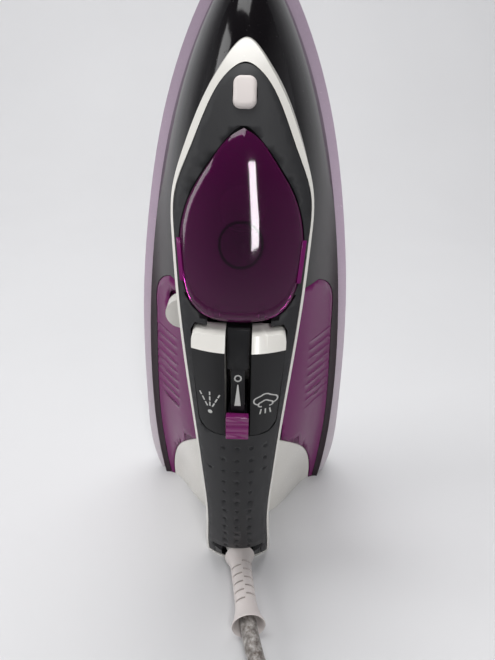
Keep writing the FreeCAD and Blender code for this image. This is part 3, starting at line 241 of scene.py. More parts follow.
lensGlow = {"middle": (0.0, -0.070, 0.190), "scale": (38.0, 10.0, 24.0), "stopper": (0.0, 0.188),
            "ring": 0.0080, "ringHalf": 0.00055, "tall": 1.04}
skirtPaintedLight = {"from": 0.018, "to": 0.034}
braidYarn = {"alongCount": 420.0, "roundCount": 4.0}
finishes = {
    "hoodBlack": hoodGloss("hoodBlack"),
    "tankPurple": moulded("tankPurple", shade(0.160, 0.0080, 0.108), 0.12, 0.000004, 300.0,
                          Specular_IOR_Level=0.24),
    "thumbPurple": moulded("thumbPurple", shade(0.20, 0.012, 0.13), 0.09, 0.000004, 300.0,
                           Coat_Weight=0.5, Coat_Roughness=0.04),
    "lensPurple": lensPlastic("lensPurple"),
    "heelWhite": moulded("heelWhite", shade(0.82, 0.80, 0.75), 0.22, 0.000006),
    "gripDark": moulded("gripDark", shade(0.021, 0.021, 0.023), 0.58, 0.00003, 1500.0, Specular_IOR_Level=0.4),
    "controlDark": moulded("controlDark", shade(0.0060, 0.0060, 0.0072), 0.34, 0.00002, 1600.0,
                           Specular_IOR_Level=0.32),
    "skirtPearl": pearl("skirtPearl"),
    "soleSteel": metal("soleSteel", shade(0.66, 0.66, 0.68), 0.28, (1, 1, 0.05)),
    "castAlloy": metal("castAlloy", shade(0.55, 0.55, 0.56), 0.50),
    "springSteel": metal("springSteel", shade(0.52, 0.52, 0.53), 0.32),
    "brass": metal("brass", shade(0.74, 0.62, 0.36), 0.26),
    "innerNylon": moulded("innerNylon", shade(0.62, 0.61, 0.58), 0.40),
    "heatPlastic": moulded("heatPlastic", shade(0.10, 0.085, 0.075), 0.55),
    "tankClear": moulded("tankClear", shade(0.22, 0.02, 0.16), 0.20),
    "siliconeGrey": moulded("siliconeGrey", shade(0.20, 0.19, 0.19), 0.55),
    "guardWhite": moulded("guardWhite", shade(0.74, 0.68, 0.655), 0.46, 0.00001, 700.0),
    "printGrey": moulded("printGrey", shade(0.60, 0.60, 0.58), 0.50),
    "cordBraid": braid("cordBraid"),
    "plugBlack": moulded("plugBlack", shade(0.022, 0.022, 0.023), 0.46, 0.00003, 1800.0),
}
nodeFinish = {
    "sole_skin": "soleSteel", "soleplate": "castAlloy", "chamber_cover": "castAlloy",
    "heating_element": "springSteel", "lid_pin": "springSteel", "sole_screws": "springSteel",
    "spray_spring": "springSteel", "steam_spring": "springSteel", "needle_spring": "springSteel",
    "self_clean_spring": "springSteel", "steam_needle": "springSteel", "thermostat": "springSteel",
    "skirt": "skirtPearl", "heat_shield": "heatPlastic", "terminal_block": "heatPlastic",
    "thermal_fuse": "heatPlastic", "hood": "hoodBlack", "tank_window_left": "tankPurple",
    "tank_window_right": "tankPurple", "water_tank": "tankClear", "filler_lid": "lensPurple",
    "steam_slider": "tankPurple", "heel_cover": "heelWhite", "handle_shell": "heelWhite",
    "spray_button": "heelWhite", "steam_button": "heelWhite", "self_clean_button": "heelWhite",
    "spray_nozzle": "guardWhite", "cord_guard": "guardWhite", "handle_cover": "gripDark",
    "filler_tray": "gripDark", "control_deck": "controlDark", "spray_button_cap": "controlDark",
    "steam_button_cap": "controlDark", "temperature_dial": "controlDark", "swivel_socket": "controlDark",
    "spray_pump": "innerNylon", "steam_pump": "innerNylon", "spray_piston": "innerNylon",
    "steam_piston": "innerNylon", "slider_link": "controlDark", "dial_shaft": "innerNylon",
    "self_clean_rod": "innerNylon", "filler_neck": "innerNylon", "needle_gland": "innerNylon",
    "swivel_ball": "innerNylon", "lid_stopper": "siliconeGrey", "spray_hose": "siliconeGrey",
    "steam_tube": "siliconeGrey", "spray_suction_tube": "siliconeGrey",
    "steam_suction_tube": "siliconeGrey", "inner_lead": "siliconeGrey",
    "element_wire_left": "siliconeGrey", "element_wire_right": "siliconeGrey",
    "valve_seat": "brass", "plug_pins": "brass", "cord": "cordBraid", "cord_coil": "cordBraid",
    "plug_body": "plugBlack", "cord_tie": "plugBlack",
}
for name, look in nodeFinish.items():
    node = bpy.data.objects[name]
    node.data.materials.clear()
    node.data.materials.append(finishes[look].material)
print("finishes on", len(nodeFinish), "CAD nodes")


# camera, floor and light

view = {"place": (0.00575, -0.284, 0.256), "down": 26.0, "left": 0.72, "roll": 1.24, "lens": 32.73}


def camera():
    yaw, pitch, roll = (math.radians(view[k]) for k in ("left", "down", "roll"))
    ahead = Vector((-math.sin(yaw) * math.cos(pitch), math.cos(yaw) * math.cos(pitch), -math.sin(pitch)))
    right = Vector((math.cos(yaw), math.sin(yaw), 0))
    up = right.cross(ahead)
    rightRolled = right * math.cos(roll) + up * math.sin(roll)
    upRolled = up * math.cos(roll) - right * math.sin(roll)
    data = bpy.data.cameras.new("camera")
    data.lens, data.sensor_width = view["lens"], 36.0
    eye = bpy.data.objects.new("camera", data)
    turn = Matrix((rightRolled, upRolled, -ahead)).transposed()
    eye.matrix_world = Matrix.Translation(view["place"]) @ turn.to_4x4()
    bpy.context.collection.objects.link(eye)
    bpy.context.scene.camera = eye


sweep = {"run": 6.0, "front": 2.4, "bend": 0.55, "radius": 0.5, "half": 2.6}
lamps = [
    {"name": "ceiling", "place": (-0.1, 0.15, 1.7), "aim": (0, 0.1, 0.1), "size": (1.5, 1.1), "power": 21.0},
    {"name": "key", "place": (0.17, -0.93, 0.84), "aim": (0, 0, 0.18), "size": (0.13, 0.34), "power": 3.2},
    {"name": "side", "place": (-1.3, -0.25, 0.8), "aim": (0, 0, 0.12), "size": (0.6, 0.8), "power": 6.0},
]


def softbox(name, place, aim, size, power, colour=(1, 1, 1)):
    data = bpy.data.lights.new(name, "AREA")
    data.shape, data.size, data.size_y, data.energy, data.color = "RECTANGLE", size[0], size[1], power, colour
    lamp = bpy.data.objects.new(name, data)
    lamp.location = place
    lamp.rotation_euler = (Vector(aim) - Vector(place)).to_track_quat("-Z", "Y").to_euler()
    bpy.context.collection.objects.link(lamp)


def studio():
    mesh = bpy.data.meshes.new("floor")
    shape = bmesh.new()
    verts = bmesh.ops.create_grid(shape, x_segments=2, y_segments=60, size=1.0)["verts"]
    for vert in verts:  # flat in front, then a soft curve up into the back wall
        run = (vert.co.y + 1) / 2 * sweep["run"] - sweep["front"]
        turn = min(max((run - sweep["bend"]) / sweep["radius"], 0.0), math.pi / 2)
        over = max(run - sweep["bend"] - sweep["radius"] * math.pi / 2, 0.0)
        vert.co = Vector((vert.co.x * sweep["half"], min(run, sweep["bend"]) + sweep["radius"] * math.sin(turn),
                          sweep["radius"] * (1 - math.cos(turn)) + over))
    bmesh.ops.recalc_face_normals(shape, faces=shape.faces)
    shape.to_mesh(mesh)
    shape.free()
    mesh.shade_smooth()
    floor = bpy.data.objects.new("floor", mesh)
    bpy.context.collection.objects.link(floor)
    paper = Finish("paper", Roughness=0.85)
    paper.set("Base Color", paper.blend(paper.noise(6.0), shade(0.70, 0.70, 0.71), shade(0.74, 0.74, 0.75)))
    mesh.materials.append(paper.material)
    world = bpy.data.worlds.new("studio")
    world.use_nodes = True
    tree = world.node_tree
    coords, split = tree.nodes.new("ShaderNodeTexCoord"), tree.nodes.new("ShaderNodeSeparateXYZ")
    ramp = tree.nodes.new("ShaderNodeValToRGB")
    ramp.color_ramp.elements[0].position, ramp.color_ramp.elements[0].color = 0.10, shade(0.40, 0.40, 0.415)
    ramp.color_ramp.elements[1].position, ramp.color_ramp.elements[1].color = 0.62, shade(0.07, 0.07, 0.075)
    tree.links.new(coords.outputs["Generated"], split.inputs[0])
    tree.links.new(split.outputs["Z"], ramp.inputs[0])
    tree.links.new(ramp.outputs[0], tree.nodes["Background"].inputs[0])
    bpy.context.scene.world = world
    bpy.context.scene.view_settings.view_transform = "Standard"
    for lamp in lamps:
        softbox(**lamp)


camera()
studio()
print("camera, floor and light")


# the curves that the handle's shells follow

handleLine = {"height": 119.5, "halfWidth": 26.7, "crown": 7.0, "power": 2.2,
              "back": [(-0.02, 0.70), (0.027, 0.753), (0.111, 0.845), (0.255, 0.946), (0.379, 0.992),
                       (0.503, 1.0), (0.587, 0.946), (0.688, 0.820), (0.789, 0.678), (0.879, 0.502)],
              "rounded": [0.63, 0.63, 0.60, 0.585, 0.665, 0.79, 0.90, 1.0, 1.0, 0.95]}


def through(points, perSpan=8):
    # a smooth curve through the points, each span in perSpan steps
    knots = [0.0]
    for a, b in zip(points, points[1:]):
        knots.append(knots[-1] + (b - a).length)
    gaps = [b - a for a, b in zip(knots, knots[1:])]
    bend, share = [points[0] * 0.0], [0.0]
    for k in range(1, len(points) - 1):
        rise = (points[k + 1] - points[k]) / gaps[k] - (points[k] - points[k - 1]) / gaps[k - 1]
        base = 2 * (gaps[k] + gaps[k - 1]) - gaps[k - 1] * share[-1]
        share.append(gaps[k] / base)
        bend.append((rise * 6 - bend[-1] * gaps[k - 1]) / base)
    second = [points[0] * 0.0] * len(points)
    for k in range(len(points) - 2, 0, -1):
        second[k] = bend[k] - second[k + 1] * share[k]
    curve = []
    for k, gap in enumerate(gaps):
        for step in range(perSpan):
            t = step / perSpan
            curve.append(points[k] * (1 - t) + points[k + 1] * t
                         + (second[k] * ((1 - t) ** 3 - (1 - t)) + second[k + 1] * (t ** 3 - t)) * (gap ** 2 / 6))
    return curve + [points[-1]]


def reader(pairs):
    # reads a curve of (place, value) pairs at any place
    curve = through([Vector((a, b, 0)) for a, b in pairs], 16)

    def value(x):
        for a, b in zip(curve, curve[1:]):
            if x <= b.x:
                return a.y + (b.y - a.y) * (x - a.x) / (b.x - a.x)
        return curve[-1].y
    return value


backHeight = reader([(a * iron["length"], b * handleLine["height"]) for a, b in handleLine["back"]])
roundedWidth = reader([(a * iron["length"], b * handleLine["halfWidth"])
                       for (a, _), b in zip(handleLine["back"], handleLine["rounded"])])


def topOf(x, y):
    # the handle's crowned top
    return backHeight(x) - handleLine["crown"] * (abs(y) / roundedWidth(x)) ** handleLine["power"]


def settle(shape, name, body, look, nodes=(), sharp=32.0, stand=True):
    # stands the finished mesh up, smooths it and says what it is
    bmesh.ops.remove_doubles(shape, verts=shape.verts, dist=1e-4 if stand else 1e-7)
    bmesh.ops.recalc_face_normals(shape, faces=shape.faces)
    if stand:
        bmesh.ops.transform(shape, matrix=standUp, verts=shape.verts)
    mesh = bpy.data.meshes.new(name)
    shape.to_mesh(mesh)
    shape.free()
    mesh.shade_smooth()
    mesh.set_sharp_from_angle(angle=math.radians(sharp))
    mesh.materials.append(finishes[look].material)
    piece = bpy.data.objects.new(name, mesh)
    bpy.context.collection.objects.link(piece)
    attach(piece, body)
    if nodes:
        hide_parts(*nodes)
    return piece


def cutAcross(shape, place, normal, **keep):
    # new edges where a plane passes through the whole shape
    everything = list(shape.verts) + list(shape.edges) + list(shape.faces)
    bmesh.ops.bisect_plane(shape, geom=everything, plane_co=place, plane_no=normal, **keep)


def ringOf(shape, points):
    # a closed ring of vertices with one face, moved onto an outline
    made = bmesh.ops.create_circle(shape, cap_ends=True, segments=len(points), radius=1.0)["verts"]
    for vert, point in zip(made, points):
        vert.co = point
    return made


def mirrored(points):
    # adds the right-hand half of an outline that is given from the rear round its left side
    return points + [Vector((p.x, -p.y, p.z)) for p in reversed(points) if abs(p.y) > 0.01]


# filler lid

lens = {"outline": [(171.4, 0), (171.6, 6), (172.3, 11.5), (176.2, 18.2), (184, 21.7), (196, 23.2), (211, 19.9),
                    (224, 11.6), (231.5, 5.0), (234.3, 0)], "middle": (199, 0), "rings": 14, "bulge": 1.4,
        "edge": 0.8, "rollFrom": 0.93, "spacing": 1.25, "lift": 0.45, "thick": 1.5, "hinge": (173.4, 2.0),
        "barrel": 1.35, "barrelHalf": 7.0}


def lidLens():
    # rings drawn in from the outline, crowned over the handle, given a wall, with its hinge barrel
    left = through([Vector((*p, 0)) for p in lens["outline"]], 6)
    outline = mirrored(left)
    shape = bmesh.new()
    ring = ringOf(shape, outline)
    bmesh.ops.delete(shape, geom=list(shape.faces), context="FACES_ONLY")
    middle = Vector((*lens["middle"], 0))
    edges = list(shape.edges)
    shares = {v: 1.0 for v in ring}
    for k in range(1, lens["rings"]):
        share = 1.0 - (k / lens["rings"]) ** lens["spacing"]
        made = bmesh.ops.extrude_edge_only(shape, edges=edges)["geom"]
        verts = [g for g in made if isinstance(g, bmesh.types.BMVert)]
        edges = [g for g in made if isinstance(g, bmesh.types.BMEdge)
                 and all(v in verts for v in g.verts)]
        before = 1.0 - ((k - 1) / lens["rings"]) ** lens["spacing"]
        for vert in verts:
            vert.co = middle + (vert.co - middle) * (share / before)
            shares[vert] = share
    bmesh.ops.contextual_create(shape, geom=edges)
    for vert, share in shares.items():
        roll = max(0.0, (share - lens["rollFrom"]) / (1 - lens["rollFrom"]))
        vert.co.z = (topOf(vert.co.x, vert.co.y) + lens["bulge"] * (1 - share ** 3)
                     + lens["lift"] - lens["edge"] * (1 - math.sqrt(max(0.0, 1 - roll ** 2))))
    bmesh.ops.recalc_face_normals(shape, faces=shape.faces)
    if sum(f.normal.z for f in shape.faces) < 0:
        bmesh.ops.reverse_faces(shape, faces=shape.faces)
    bmesh.ops.solidify(shape, geom=list(shape.faces), thickness=lens["thick"])
    x, drop = lens["hinge"]
    barrel = bmesh.ops.create_cone(shape, cap_ends=True, segments=24, radius1=lens["barrel"],
                                   radius2=lens["barrel"], depth=2 * lens["barrelHalf"])["verts"]
    bmesh.ops.rotate(shape, verts=barrel, matrix=Matrix.Rotation(math.radians(90), 3, "X"))
    bmesh.ops.translate(shape, verts=barrel, vec=(x, 0, backHeight(x) - drop))
    settle(shape, "lid_lens", "lid", "lensPurple", ["filler_lid"])


wings = {"from": (183.5, 21.9), "to": (197.5, 23.7), "wide": 1.7, "foot": 0.2, "high": 0.8, "parts": 8}


def lidWings():
    # narrow finger strips on the lid's left and right edge
    shape = bmesh.new()
    for side in (-1, 1):
        made = bmesh.ops.create_cube(shape, size=1.0)["verts"]
        a, b = Vector((*wings["from"], 0)), Vector((*wings["to"], 0))
        along = b - a
        across = Vector((-along.y, along.x, 0)).normalized()
        long = list(dict.fromkeys(e for v in made for e in v.link_edges
                                  if abs(e.verts[0].co.x - e.verts[1].co.x) > 0.5))
        bmesh.ops.subdivide_edges(shape, edges=long, cuts=wings["parts"])
        for vert in [v for v in shape.verts if max(map(abs, v.co)) <= 0.5]:
            spot = a + along * (vert.co.x + 0.5) + across * (vert.co.y * wings["wide"])
            rise = wings["foot"] + wings["high"] * (vert.co.z + 0.5)
            vert.co = Vector((spot.x, side * spot.y, topOf(spot.x, spot.y) + rise))
    bmesh.ops.bevel(shape, geom=[e for e in shape.edges if len(e.link_faces) == 2 and e.calc_face_angle(0) > 1.0],
                    offset=0.25, offset_type="OFFSET", affect="EDGES", segments=2, profile=0.5, material=-1,
                    clamp_overlap=True)
    settle(shape, "lid_finger_strips", "lid", "tankPurple")


lidLens()
lidWings()
print("filler lid")


# push buttons

button = {"rear": 121.0, "slopeTop": 162.3, "front": 167.4, "low": 107.4, "frontLow": 117.6,
          "rise": 6.0, "cap": 1.4, "ends": (120.6, 165.6), "slopeRun": 44.7, "frontCrown": 3.0, "side": 18.0,
          "cutsAlong": (130.0, 140.0, 150.0), "cutsAcross": (8.0, 11.0, 14.0),
          "outline": [(121.0, 5.0), (121.0, 8.6), (122.4, 12.9), (126.6, 15.6),
                      (165.0, 17.9), (166.8, 17.4), (167.4, 15.8), (167.4, 5.0)]}


def capHeight(x, y):
    # the buttons' top: flush at the rear, proud at the front, crowned like the handle
    rearTop = backHeight(button["ends"][0])
    frontTop = backHeight(button["ends"][1]) + button["rise"]
    share = (x - button["rear"]) / button["slopeRun"]
    drop = handleLine["crown"] * (abs(y) / roundedWidth(x)) ** handleLine["power"]
    return rearTop + (frontTop - rearTop) * share - drop * 0.95


def buttonBody(name, side):
    # a light carrier whose nose end slopes, and a dark cap over the rest of its top
    body = "spray_push" if side > 0 else "steam_push"
    for kind in ("carrier", "cap"):
        shape = bmesh.new()
        ring = ringOf(shape, [Vector((x, y, 0)) for x, y in button["outline"]])
        corners = [v for v in ring if v.co.y > 12]
        bmesh.ops.bevel(shape, geom=corners, offset=1.2, offset_type="OFFSET", affect="VERTICES", segments=3,
                        profile=0.5, material=-1, clamp_overlap=True)
        for x in button["cutsAlong"] + (button["slopeTop"],):
            cutAcross(shape, (x, 0, 0), (1, 0, 0))
        for y in button["cutsAcross"]:
            cutAcross(shape, (0, y, 0), (0, 1, 0))
        if kind == "cap":  # the dark cap stops where the light front slope begins
            cutAcross(shape, (button["slopeTop"], 0, 0), (1, 0, 0), clear_outer=True)
        bottom = list(shape.verts)
        made = bmesh.ops.extrude_face_region(shape, geom=list(shape.faces))["geom"]
        top = [g for g in made if isinstance(g, bmesh.types.BMVert)]
        for vert in top:
            x, y = vert.co.x, vert.co.y
            height = capHeight(min(x, button["slopeTop"]), y)
            if x > button["slopeTop"]:
                share = (x - button["slopeTop"]) / (button["front"] - button["slopeTop"])
                foot = button["frontLow"] - button["frontCrown"] * (y / button["side"]) ** 2
                height += (foot - height) * share
            vert.co.z = height - (button["cap"] + 0.02 if kind == "carrier" and x <= button["slopeTop"] - 0.01 else 0)
        for vert in bottom:
            vert.co.z = button["low"] if kind == "carrier" else capHeight(vert.co.x, vert.co.y) - button["cap"]
        bmesh.ops.recalc_face_normals(shape, faces=shape.faces)
        rim = [e for e in shape.edges if len(e.link_faces) == 2 and e.calc_face_angle(0) > 0.9
               and all(v in top for v in e.verts)]
        bmesh.ops.bevel(shape, geom=rim, offset=0.55, offset_type="OFFSET", affect="EDGES", segments=3, profile=0.5,
                        material=-1, clamp_overlap=True)
        if side < 0:
            bmesh.ops.scale(shape, verts=shape.verts, vec=(1, -1, 1))
        if kind == "cap":
            settle(shape, name + "_cap", body, "controlDark", [name + "_button_cap"])
        else:
            settle(shape, name + "_carrier", body, "heelWhite", [name + "_button"])


buttonBody("spray", 1)
buttonBody("steam", -1)
print("push buttons")


# slider thumb, centre strip and printed marks

strip = {"sink": 0.20, "proud": 0.15, "half": 4.15, "narrow": 2.7, "block": 153.4, "front": 169.0, "rear": 122.2,
         "thick": 3.0}
thumb = {"rear": 123.0, "front": 134.0, "half": 4.5, "foot": 0.42, "high": 2.6,
         "cuts": (124.9, 125.3, 128.3, 128.7, 131.7, 132.1),
         "steps": [(125.0, 0.75), (128.5, 0.0), (131.9, 0.25), (140.0, 0.75)]}  # up to x, raised by


def plateOn(shape, outline, top, thick):
    # a plate with the outline's shape whose top follows the height given
    ring = ringOf(shape, [Vector((x, y, 0)) for x, y in outline])
    face = list(dict.fromkeys(f for v in ring for f in v.link_faces))
    made = bmesh.ops.extrude_face_region(shape, geom=face)["geom"]
    upper = [g for g in made if isinstance(g, bmesh.types.BMVert)]
    for vert in ring:
        vert.co.z = top(vert.co.x, vert.co.y) - thick
    for vert in upper:
        vert.co.z = top(vert.co.x, vert.co.y)
    return ring, upper


def stripTop(x, y):
    return topOf(x, 0) - strip["sink"]


def centreStrip():
    # wide front block with a fine step, then the narrow bridge that the slider straddles
    shape = bmesh.new()
    half, narrow = strip["half"], strip["narrow"]
    front = [(strip["block"] + k, -half) for k in (0, 4, 9)] + [(strip["front"], -half)]
    front += [(x, -y) for x, y in reversed(front)]
    plateOn(shape, front, lambda x, y: topOf(x, 0) + strip["proud"], strip["thick"])
    bridge = [(strip["rear"] + 4 * k, -narrow) for k in range(8)] + [(strip["block"] + 0.2, -narrow)]
    bridge += [(x, -y) for x, y in reversed(bridge)]
    plateOn(shape, bridge, stripTop, strip["thick"])
    edges = [e for e in shape.edges if len(e.link_faces) == 2 and e.calc_face_angle(0) > 1.0]
    bmesh.ops.bevel(shape, geom=edges, offset=0.35, offset_type="OFFSET", affect="EDGES", segments=2, profile=0.5,
                    material=-1, clamp_overlap=True)
    settle(shape, "centre_strip", "iron", "controlDark")


def sliderThumb():
    # three stepped bands rising to a ridge at each end
    shape = bmesh.new()
    base = backHeight(140) + thumb["foot"]
    made = bmesh.ops.create_cube(shape, size=1.0)["verts"]
    bmesh.ops.scale(shape, verts=made, vec=(thumb["front"] - thumb["rear"], 2 * thumb["half"], thumb["high"]))
    bmesh.ops.translate(shape, verts=made, vec=((thumb["front"] + thumb["rear"]) / 2, 0, base + thumb["high"] / 2))
    for x in thumb["cuts"]:
        cutAcross(shape, (x, 0, 0), (1, 0, 0))
    for vert in shape.verts:
        if vert.co.z > base + 1:
            vert.co.z += next(rise for x, rise in thumb["steps"] if vert.co.x < x)
    edges = [e for e in shape.edges if len(e.link_faces) == 2 and e.calc_face_angle(0) > 1.2]
    bmesh.ops.bevel(shape, geom=edges, offset=0.4, offset_type="OFFSET", affect="EDGES", segments=3, profile=0.5,
                    material=-1, clamp_overlap=True)
    settle(shape, "slider_thumb", "slider", "thumbPurple", ["steam_slider"], 45.0)


marks = {"thick": 0.2, "line": 0.55, "lift": 0.09, "side": 11.0, "sprayFoot": 133.0, "fan": 24,
         "dashes": ((2.6, 4.3), (5.4, 7.1), (8.2, 9.6)), "puffs": ((1.0, 139.2), (0.62, 137.2)),
         "wedge": [(146.8, 0.2), (143.5, 0.55), (140.2, 0.9), (137.0, 1.25)], "offRing": (149.6, 1.25)}


def stroke(shape, points, top, wide=None):
    # a printed line: short flat bars that follow the surface, corner to corner
    wide = (wide or marks["line"]) / 2
    for (ax, ay), (bx, by) in zip(points, points[1:]):
        along = Vector((bx - ax, by - ay, 0)).normalized()
        side, over = Vector((-along.y, along.x, 0)) * wide, along * wide * 0.6
        a, b = Vector((ax, ay, 0)) - over, Vector((bx, by, 0)) + over
        plateOn(shape, [(p.x, p.y) for p in (a - side, b - side, b + side, a + side)],
                lambda x, y: top(x, y) + marks["lift"], marks["thick"])


def arcOf(x, y, radius, start, end, steps=7):
    return [(x + radius * math.cos(math.radians(start + (end - start) * k / steps)),
             y + radius * math.sin(math.radians(start + (end - start) * k / steps))) for k in range(steps + 1)]


def printedMarks():
    side, foot = marks["side"], marks["sprayFoot"]
    spray = bmesh.new()  # a dot with three dashed rays
    for k in (-1, 0, 1):
        turn = math.radians(marks["fan"] * k)
        for dash in marks["dashes"]:
            stroke(spray, [(foot + r * math.cos(turn), side + r * math.sin(turn)) for r in dash], capHeight)
    stroke(spray, arcOf(foot - 0.6, side, 0.45, 0, 360, 8), capHeight, 0.9)
    settle(spray, "spray_mark", "spray_push", "printGrey")
    steam = bmesh.new()  # two nested puffs with three short lines below
    for scale, x in marks["puffs"]:
        outline = (arcOf(x, -side + 2.9 * scale, 1.8 * scale, 190, 35)
                   + arcOf(x + 1.2 * scale, -side, 2.2 * scale, 50, -50)
                   + arcOf(x, -side - 2.9 * scale, 1.8 * scale, -35, -190))
        stroke(steam, outline, capHeight)
    for k in (-1, 0, 1):
        stroke(steam, [(134.6, -side + 1.7 * k), (132.4, -side + 2.1 * k)], capHeight)
    settle(steam, "steam_mark", "steam_push", "printGrey")
    amount = bmesh.new()  # a ring at the off end and a widening wedge
    ringX, ringRadius = marks["offRing"]
    stroke(amount, arcOf(ringX, 0, ringRadius, 0, 360, 12), stripTop, 0.5)
    wedge = marks["wedge"] + [(x, -y) for x, y in reversed(marks["wedge"])]
    plateOn(amount, wedge, lambda x, y: stripTop(x, y) + marks["lift"], marks["thick"])
    settle(amount, "steam_amount_mark", "iron", "printGrey")


centreStrip()
sliderThumb()
printedMarks()
print("slider and marks")


# spray nozzle

nozzle = {"x": 245.0, "wide": 8.7, "long": 12.4, "corner": 3.0, "proud": 2.6, "deep": 6.0}


def sprayNozzle():
    # a long rounded pill with a soft top edge, square to the slope
    shape = bmesh.new()
    reach, side, corner = nozzle["long"] / 2, nozzle["wide"] / 2, nozzle["corner"]
    outline = []
    for k in range(32):
        angle = 2 * math.pi * (k + 0.5) / 32
        outline.append(Vector((math.copysign(reach - corner, math.cos(angle)) + corner * math.cos(angle),
                               math.copysign(side - corner, math.sin(angle)) + corner * math.sin(angle),
                               -nozzle["deep"])))
    ringOf(shape, outline)
    made = bmesh.ops.extrude_face_region(shape, geom=list(shape.faces))["geom"]
    top = [g for g in made if isinstance(g, bmesh.types.BMVert)]
    bmesh.ops.translate(shape, verts=top, vec=(0, 0, nozzle["deep"] + nozzle["proud"]))
    rim = [e for e in shape.edges if all(v in top for v in e.verts)]
    bmesh.ops.bevel(shape, geom=rim, offset=1.6, offset_type="OFFSET", affect="EDGES", segments=5, profile=0.5,
                    material=-1, clamp_overlap=True)
    slope = math.atan2(backHeight(nozzle["x"] - 5) - backHeight(nozzle["x"] + 5), 10)
    bmesh.ops.rotate(shape, verts=shape.verts, matrix=Matrix.Rotation(slope, 3, "Y"))
    bmesh.ops.translate(shape, verts=shape.verts, vec=(nozzle["x"], 0, backHeight(nozzle["x"])))
    settle(shape, "nozzle_pill", "iron", "guardWhite", ["spray_nozzle"], 50.0)


sprayNozzle()
print("spray nozzle")


# swivelling cord guard

guard = {"ball": (0.0, -42.0, 9.7), "swing": 7.6, "sides": 40, "bore": 3.9,
         "outside": [(6.6, 4.7), (9.1, 4.8), (9.35, 7.4), (9.8, 7.8), (10.4, 7.6), (14.6, 5.6), (20, 5.35),
                     (30, 5.2), (40, 5.3), (44, 5.7), (48, 6.6), (50.6, 7.7), (51.6, 8.0), (52.0, 7.8)],
         "inside": [(51.4, 6.9), (48, 5.6), (44.5, 4.5)],
         "slots": [17.5, 22.5, 27.5, 32.5, 37.5], "slotWide": 0.95, "stagger": 2.5, "mouth": 44.5, "start": 6.6}


def cordGuard():
    # a turned sleeve along the cord with a flared mouth, then short slots cut in turn left and right
    shape = bmesh.new()
    profile = [Vector((r, 0, s)) for s, r in guard["outside"] + guard["inside"]]
    profile += [Vector((guard["bore"], 0, s)) for s in (guard["mouth"], guard["start"])]
    verts = [shape.verts.new(p) for p in profile]
    edges = [shape.edges.new((a, b)) for a, b in zip(verts, verts[1:] + verts[:1])]
    bmesh.ops.spin(shape, geom=verts + edges, cent=(0, 0, 0), axis=(0, 0, 1), angle=2 * math.pi,
                   steps=guard["sides"], use_merge=True)
    bmesh.ops.remove_doubles(shape, verts=shape.verts, dist=1e-4)
    bmesh.ops.recalc_face_normals(shape, faces=shape.faces)
    mesh = bpy.data.meshes.new("guardBlank")
    shape.to_mesh(mesh)
    shape.free()
    blank = bpy.data.objects.new("guardBlank", mesh)
    cutter = bmesh.new()
    for s in guard["slots"]:
        for half, at in ((1, s), (-1, s + guard["stagger"])):
            made = bmesh.ops.create_cube(cutter, size=1.0)["verts"]
            bmesh.ops.scale(cutter, verts=made, vec=(6.4, 6.0, guard["slotWide"]))
            bmesh.ops.translate(cutter, verts=made, vec=(half * 3.5, 4.6, at))
            faces = list(dict.fromkeys(f for v in made for f in v.link_faces))
            again = bmesh.ops.duplicate(cutter, geom=faces)["geom"]
            bmesh.ops.translate(cutter, verts=[g for g in again if isinstance(g, bmesh.types.BMVert)],
                                vec=(0, -9.2, 0))
    cut = joinedCut(blank, cutter)
    # local +Y is up, +Z runs out of the iron
    yaw = math.radians(guard["swing"])
    out = Vector((math.sin(yaw), -math.cos(yaw), 0))
    up = Vector((0, 0, 1))
    turn = Matrix((up.cross(out), up, out)).transposed().to_4x4()
    bmesh.ops.transform(cut, verts=cut.verts, matrix=Matrix.Scale(mm, 4) @ Matrix.Translation(guard["ball"]) @ turn)
    settle(cut, "guard_sleeve", "cord_swing", "guardWhite", ["cord_guard"], 40.0, stand=False)


def joinedCut(blank, cutter, operation="DIFFERENCE"):
    # takes one shape away from another and gives the result as a new bmesh
    tool = bpy.data.objects.new("tool", bpy.data.meshes.new("tool"))
    bmesh.ops.recalc_face_normals(cutter, faces=cutter.faces)
    cutter.to_mesh(tool.data)
    cutter.free()
    for thing in (blank, tool):
        bpy.context.collection.objects.link(thing)
    knife = blank.modifiers.new("cut", "BOOLEAN")
    knife.operation, knife.object, knife.solver = operation, tool, "EXACT"
    deps = bpy.context.evaluated_depsgraph_get()
    mesh = bpy.data.meshes.new_from_object(blank.evaluated_get(deps))
    result = bmesh.new()
    result.from_mesh(mesh)
    for thing in (blank, tool):
        data = thing.data
        bpy.data.objects.remove(thing)
        bpy.data.meshes.remove(data)
    bpy.data.meshes.remove(mesh)
    return result


cordGuard()
print("cord guard")


# soft grip cover

grip = {"rows": [(113.0 - 7.5 * k) for k in range(12)], "ways": (-11.8, -5.9, 0.0, 5.9, 11.8),
        "ball": 1.0, "sunk": 0.28, "margin": 4.5, "shortRows": 2, "shortPast": 10}


def gripCover():
    # the soft cover with its rows of small round dimples
    source = bpy.data.objects["handle_cover"]
    copy = bmesh.new()
    copy.from_mesh(source.data)
    bmesh.ops.remove_doubles(copy, verts=copy.verts, dist=1e-6)
    bmesh.ops.transform(copy, verts=copy.verts, matrix=standUp.inverted())
    mesh = bpy.data.meshes.new("coverBlank")
    copy.to_mesh(mesh)
    copy.free()
    blank = bpy.data.objects.new("coverBlank", mesh)
    cutter = bmesh.new()
    for row, x in enumerate(grip["rows"]):
        for y in grip["ways"]:
            short = row < grip["shortRows"] and y > grip["shortPast"]
            if short or abs(y) > roundedWidth(x) - grip["margin"]:
                continue
            made = bmesh.ops.create_icosphere(cutter, subdivisions=2, radius=grip["ball"])["verts"]
            bmesh.ops.translate(cutter, verts=made, vec=(x, y, topOf(x, y) + grip["sunk"]))
    settle(joinedCut(blank, cutter), "soft_cover", "iron", "gripDark", ["handle_cover"], 40.0)


gripCover()
print("grip cover")


# tank windows

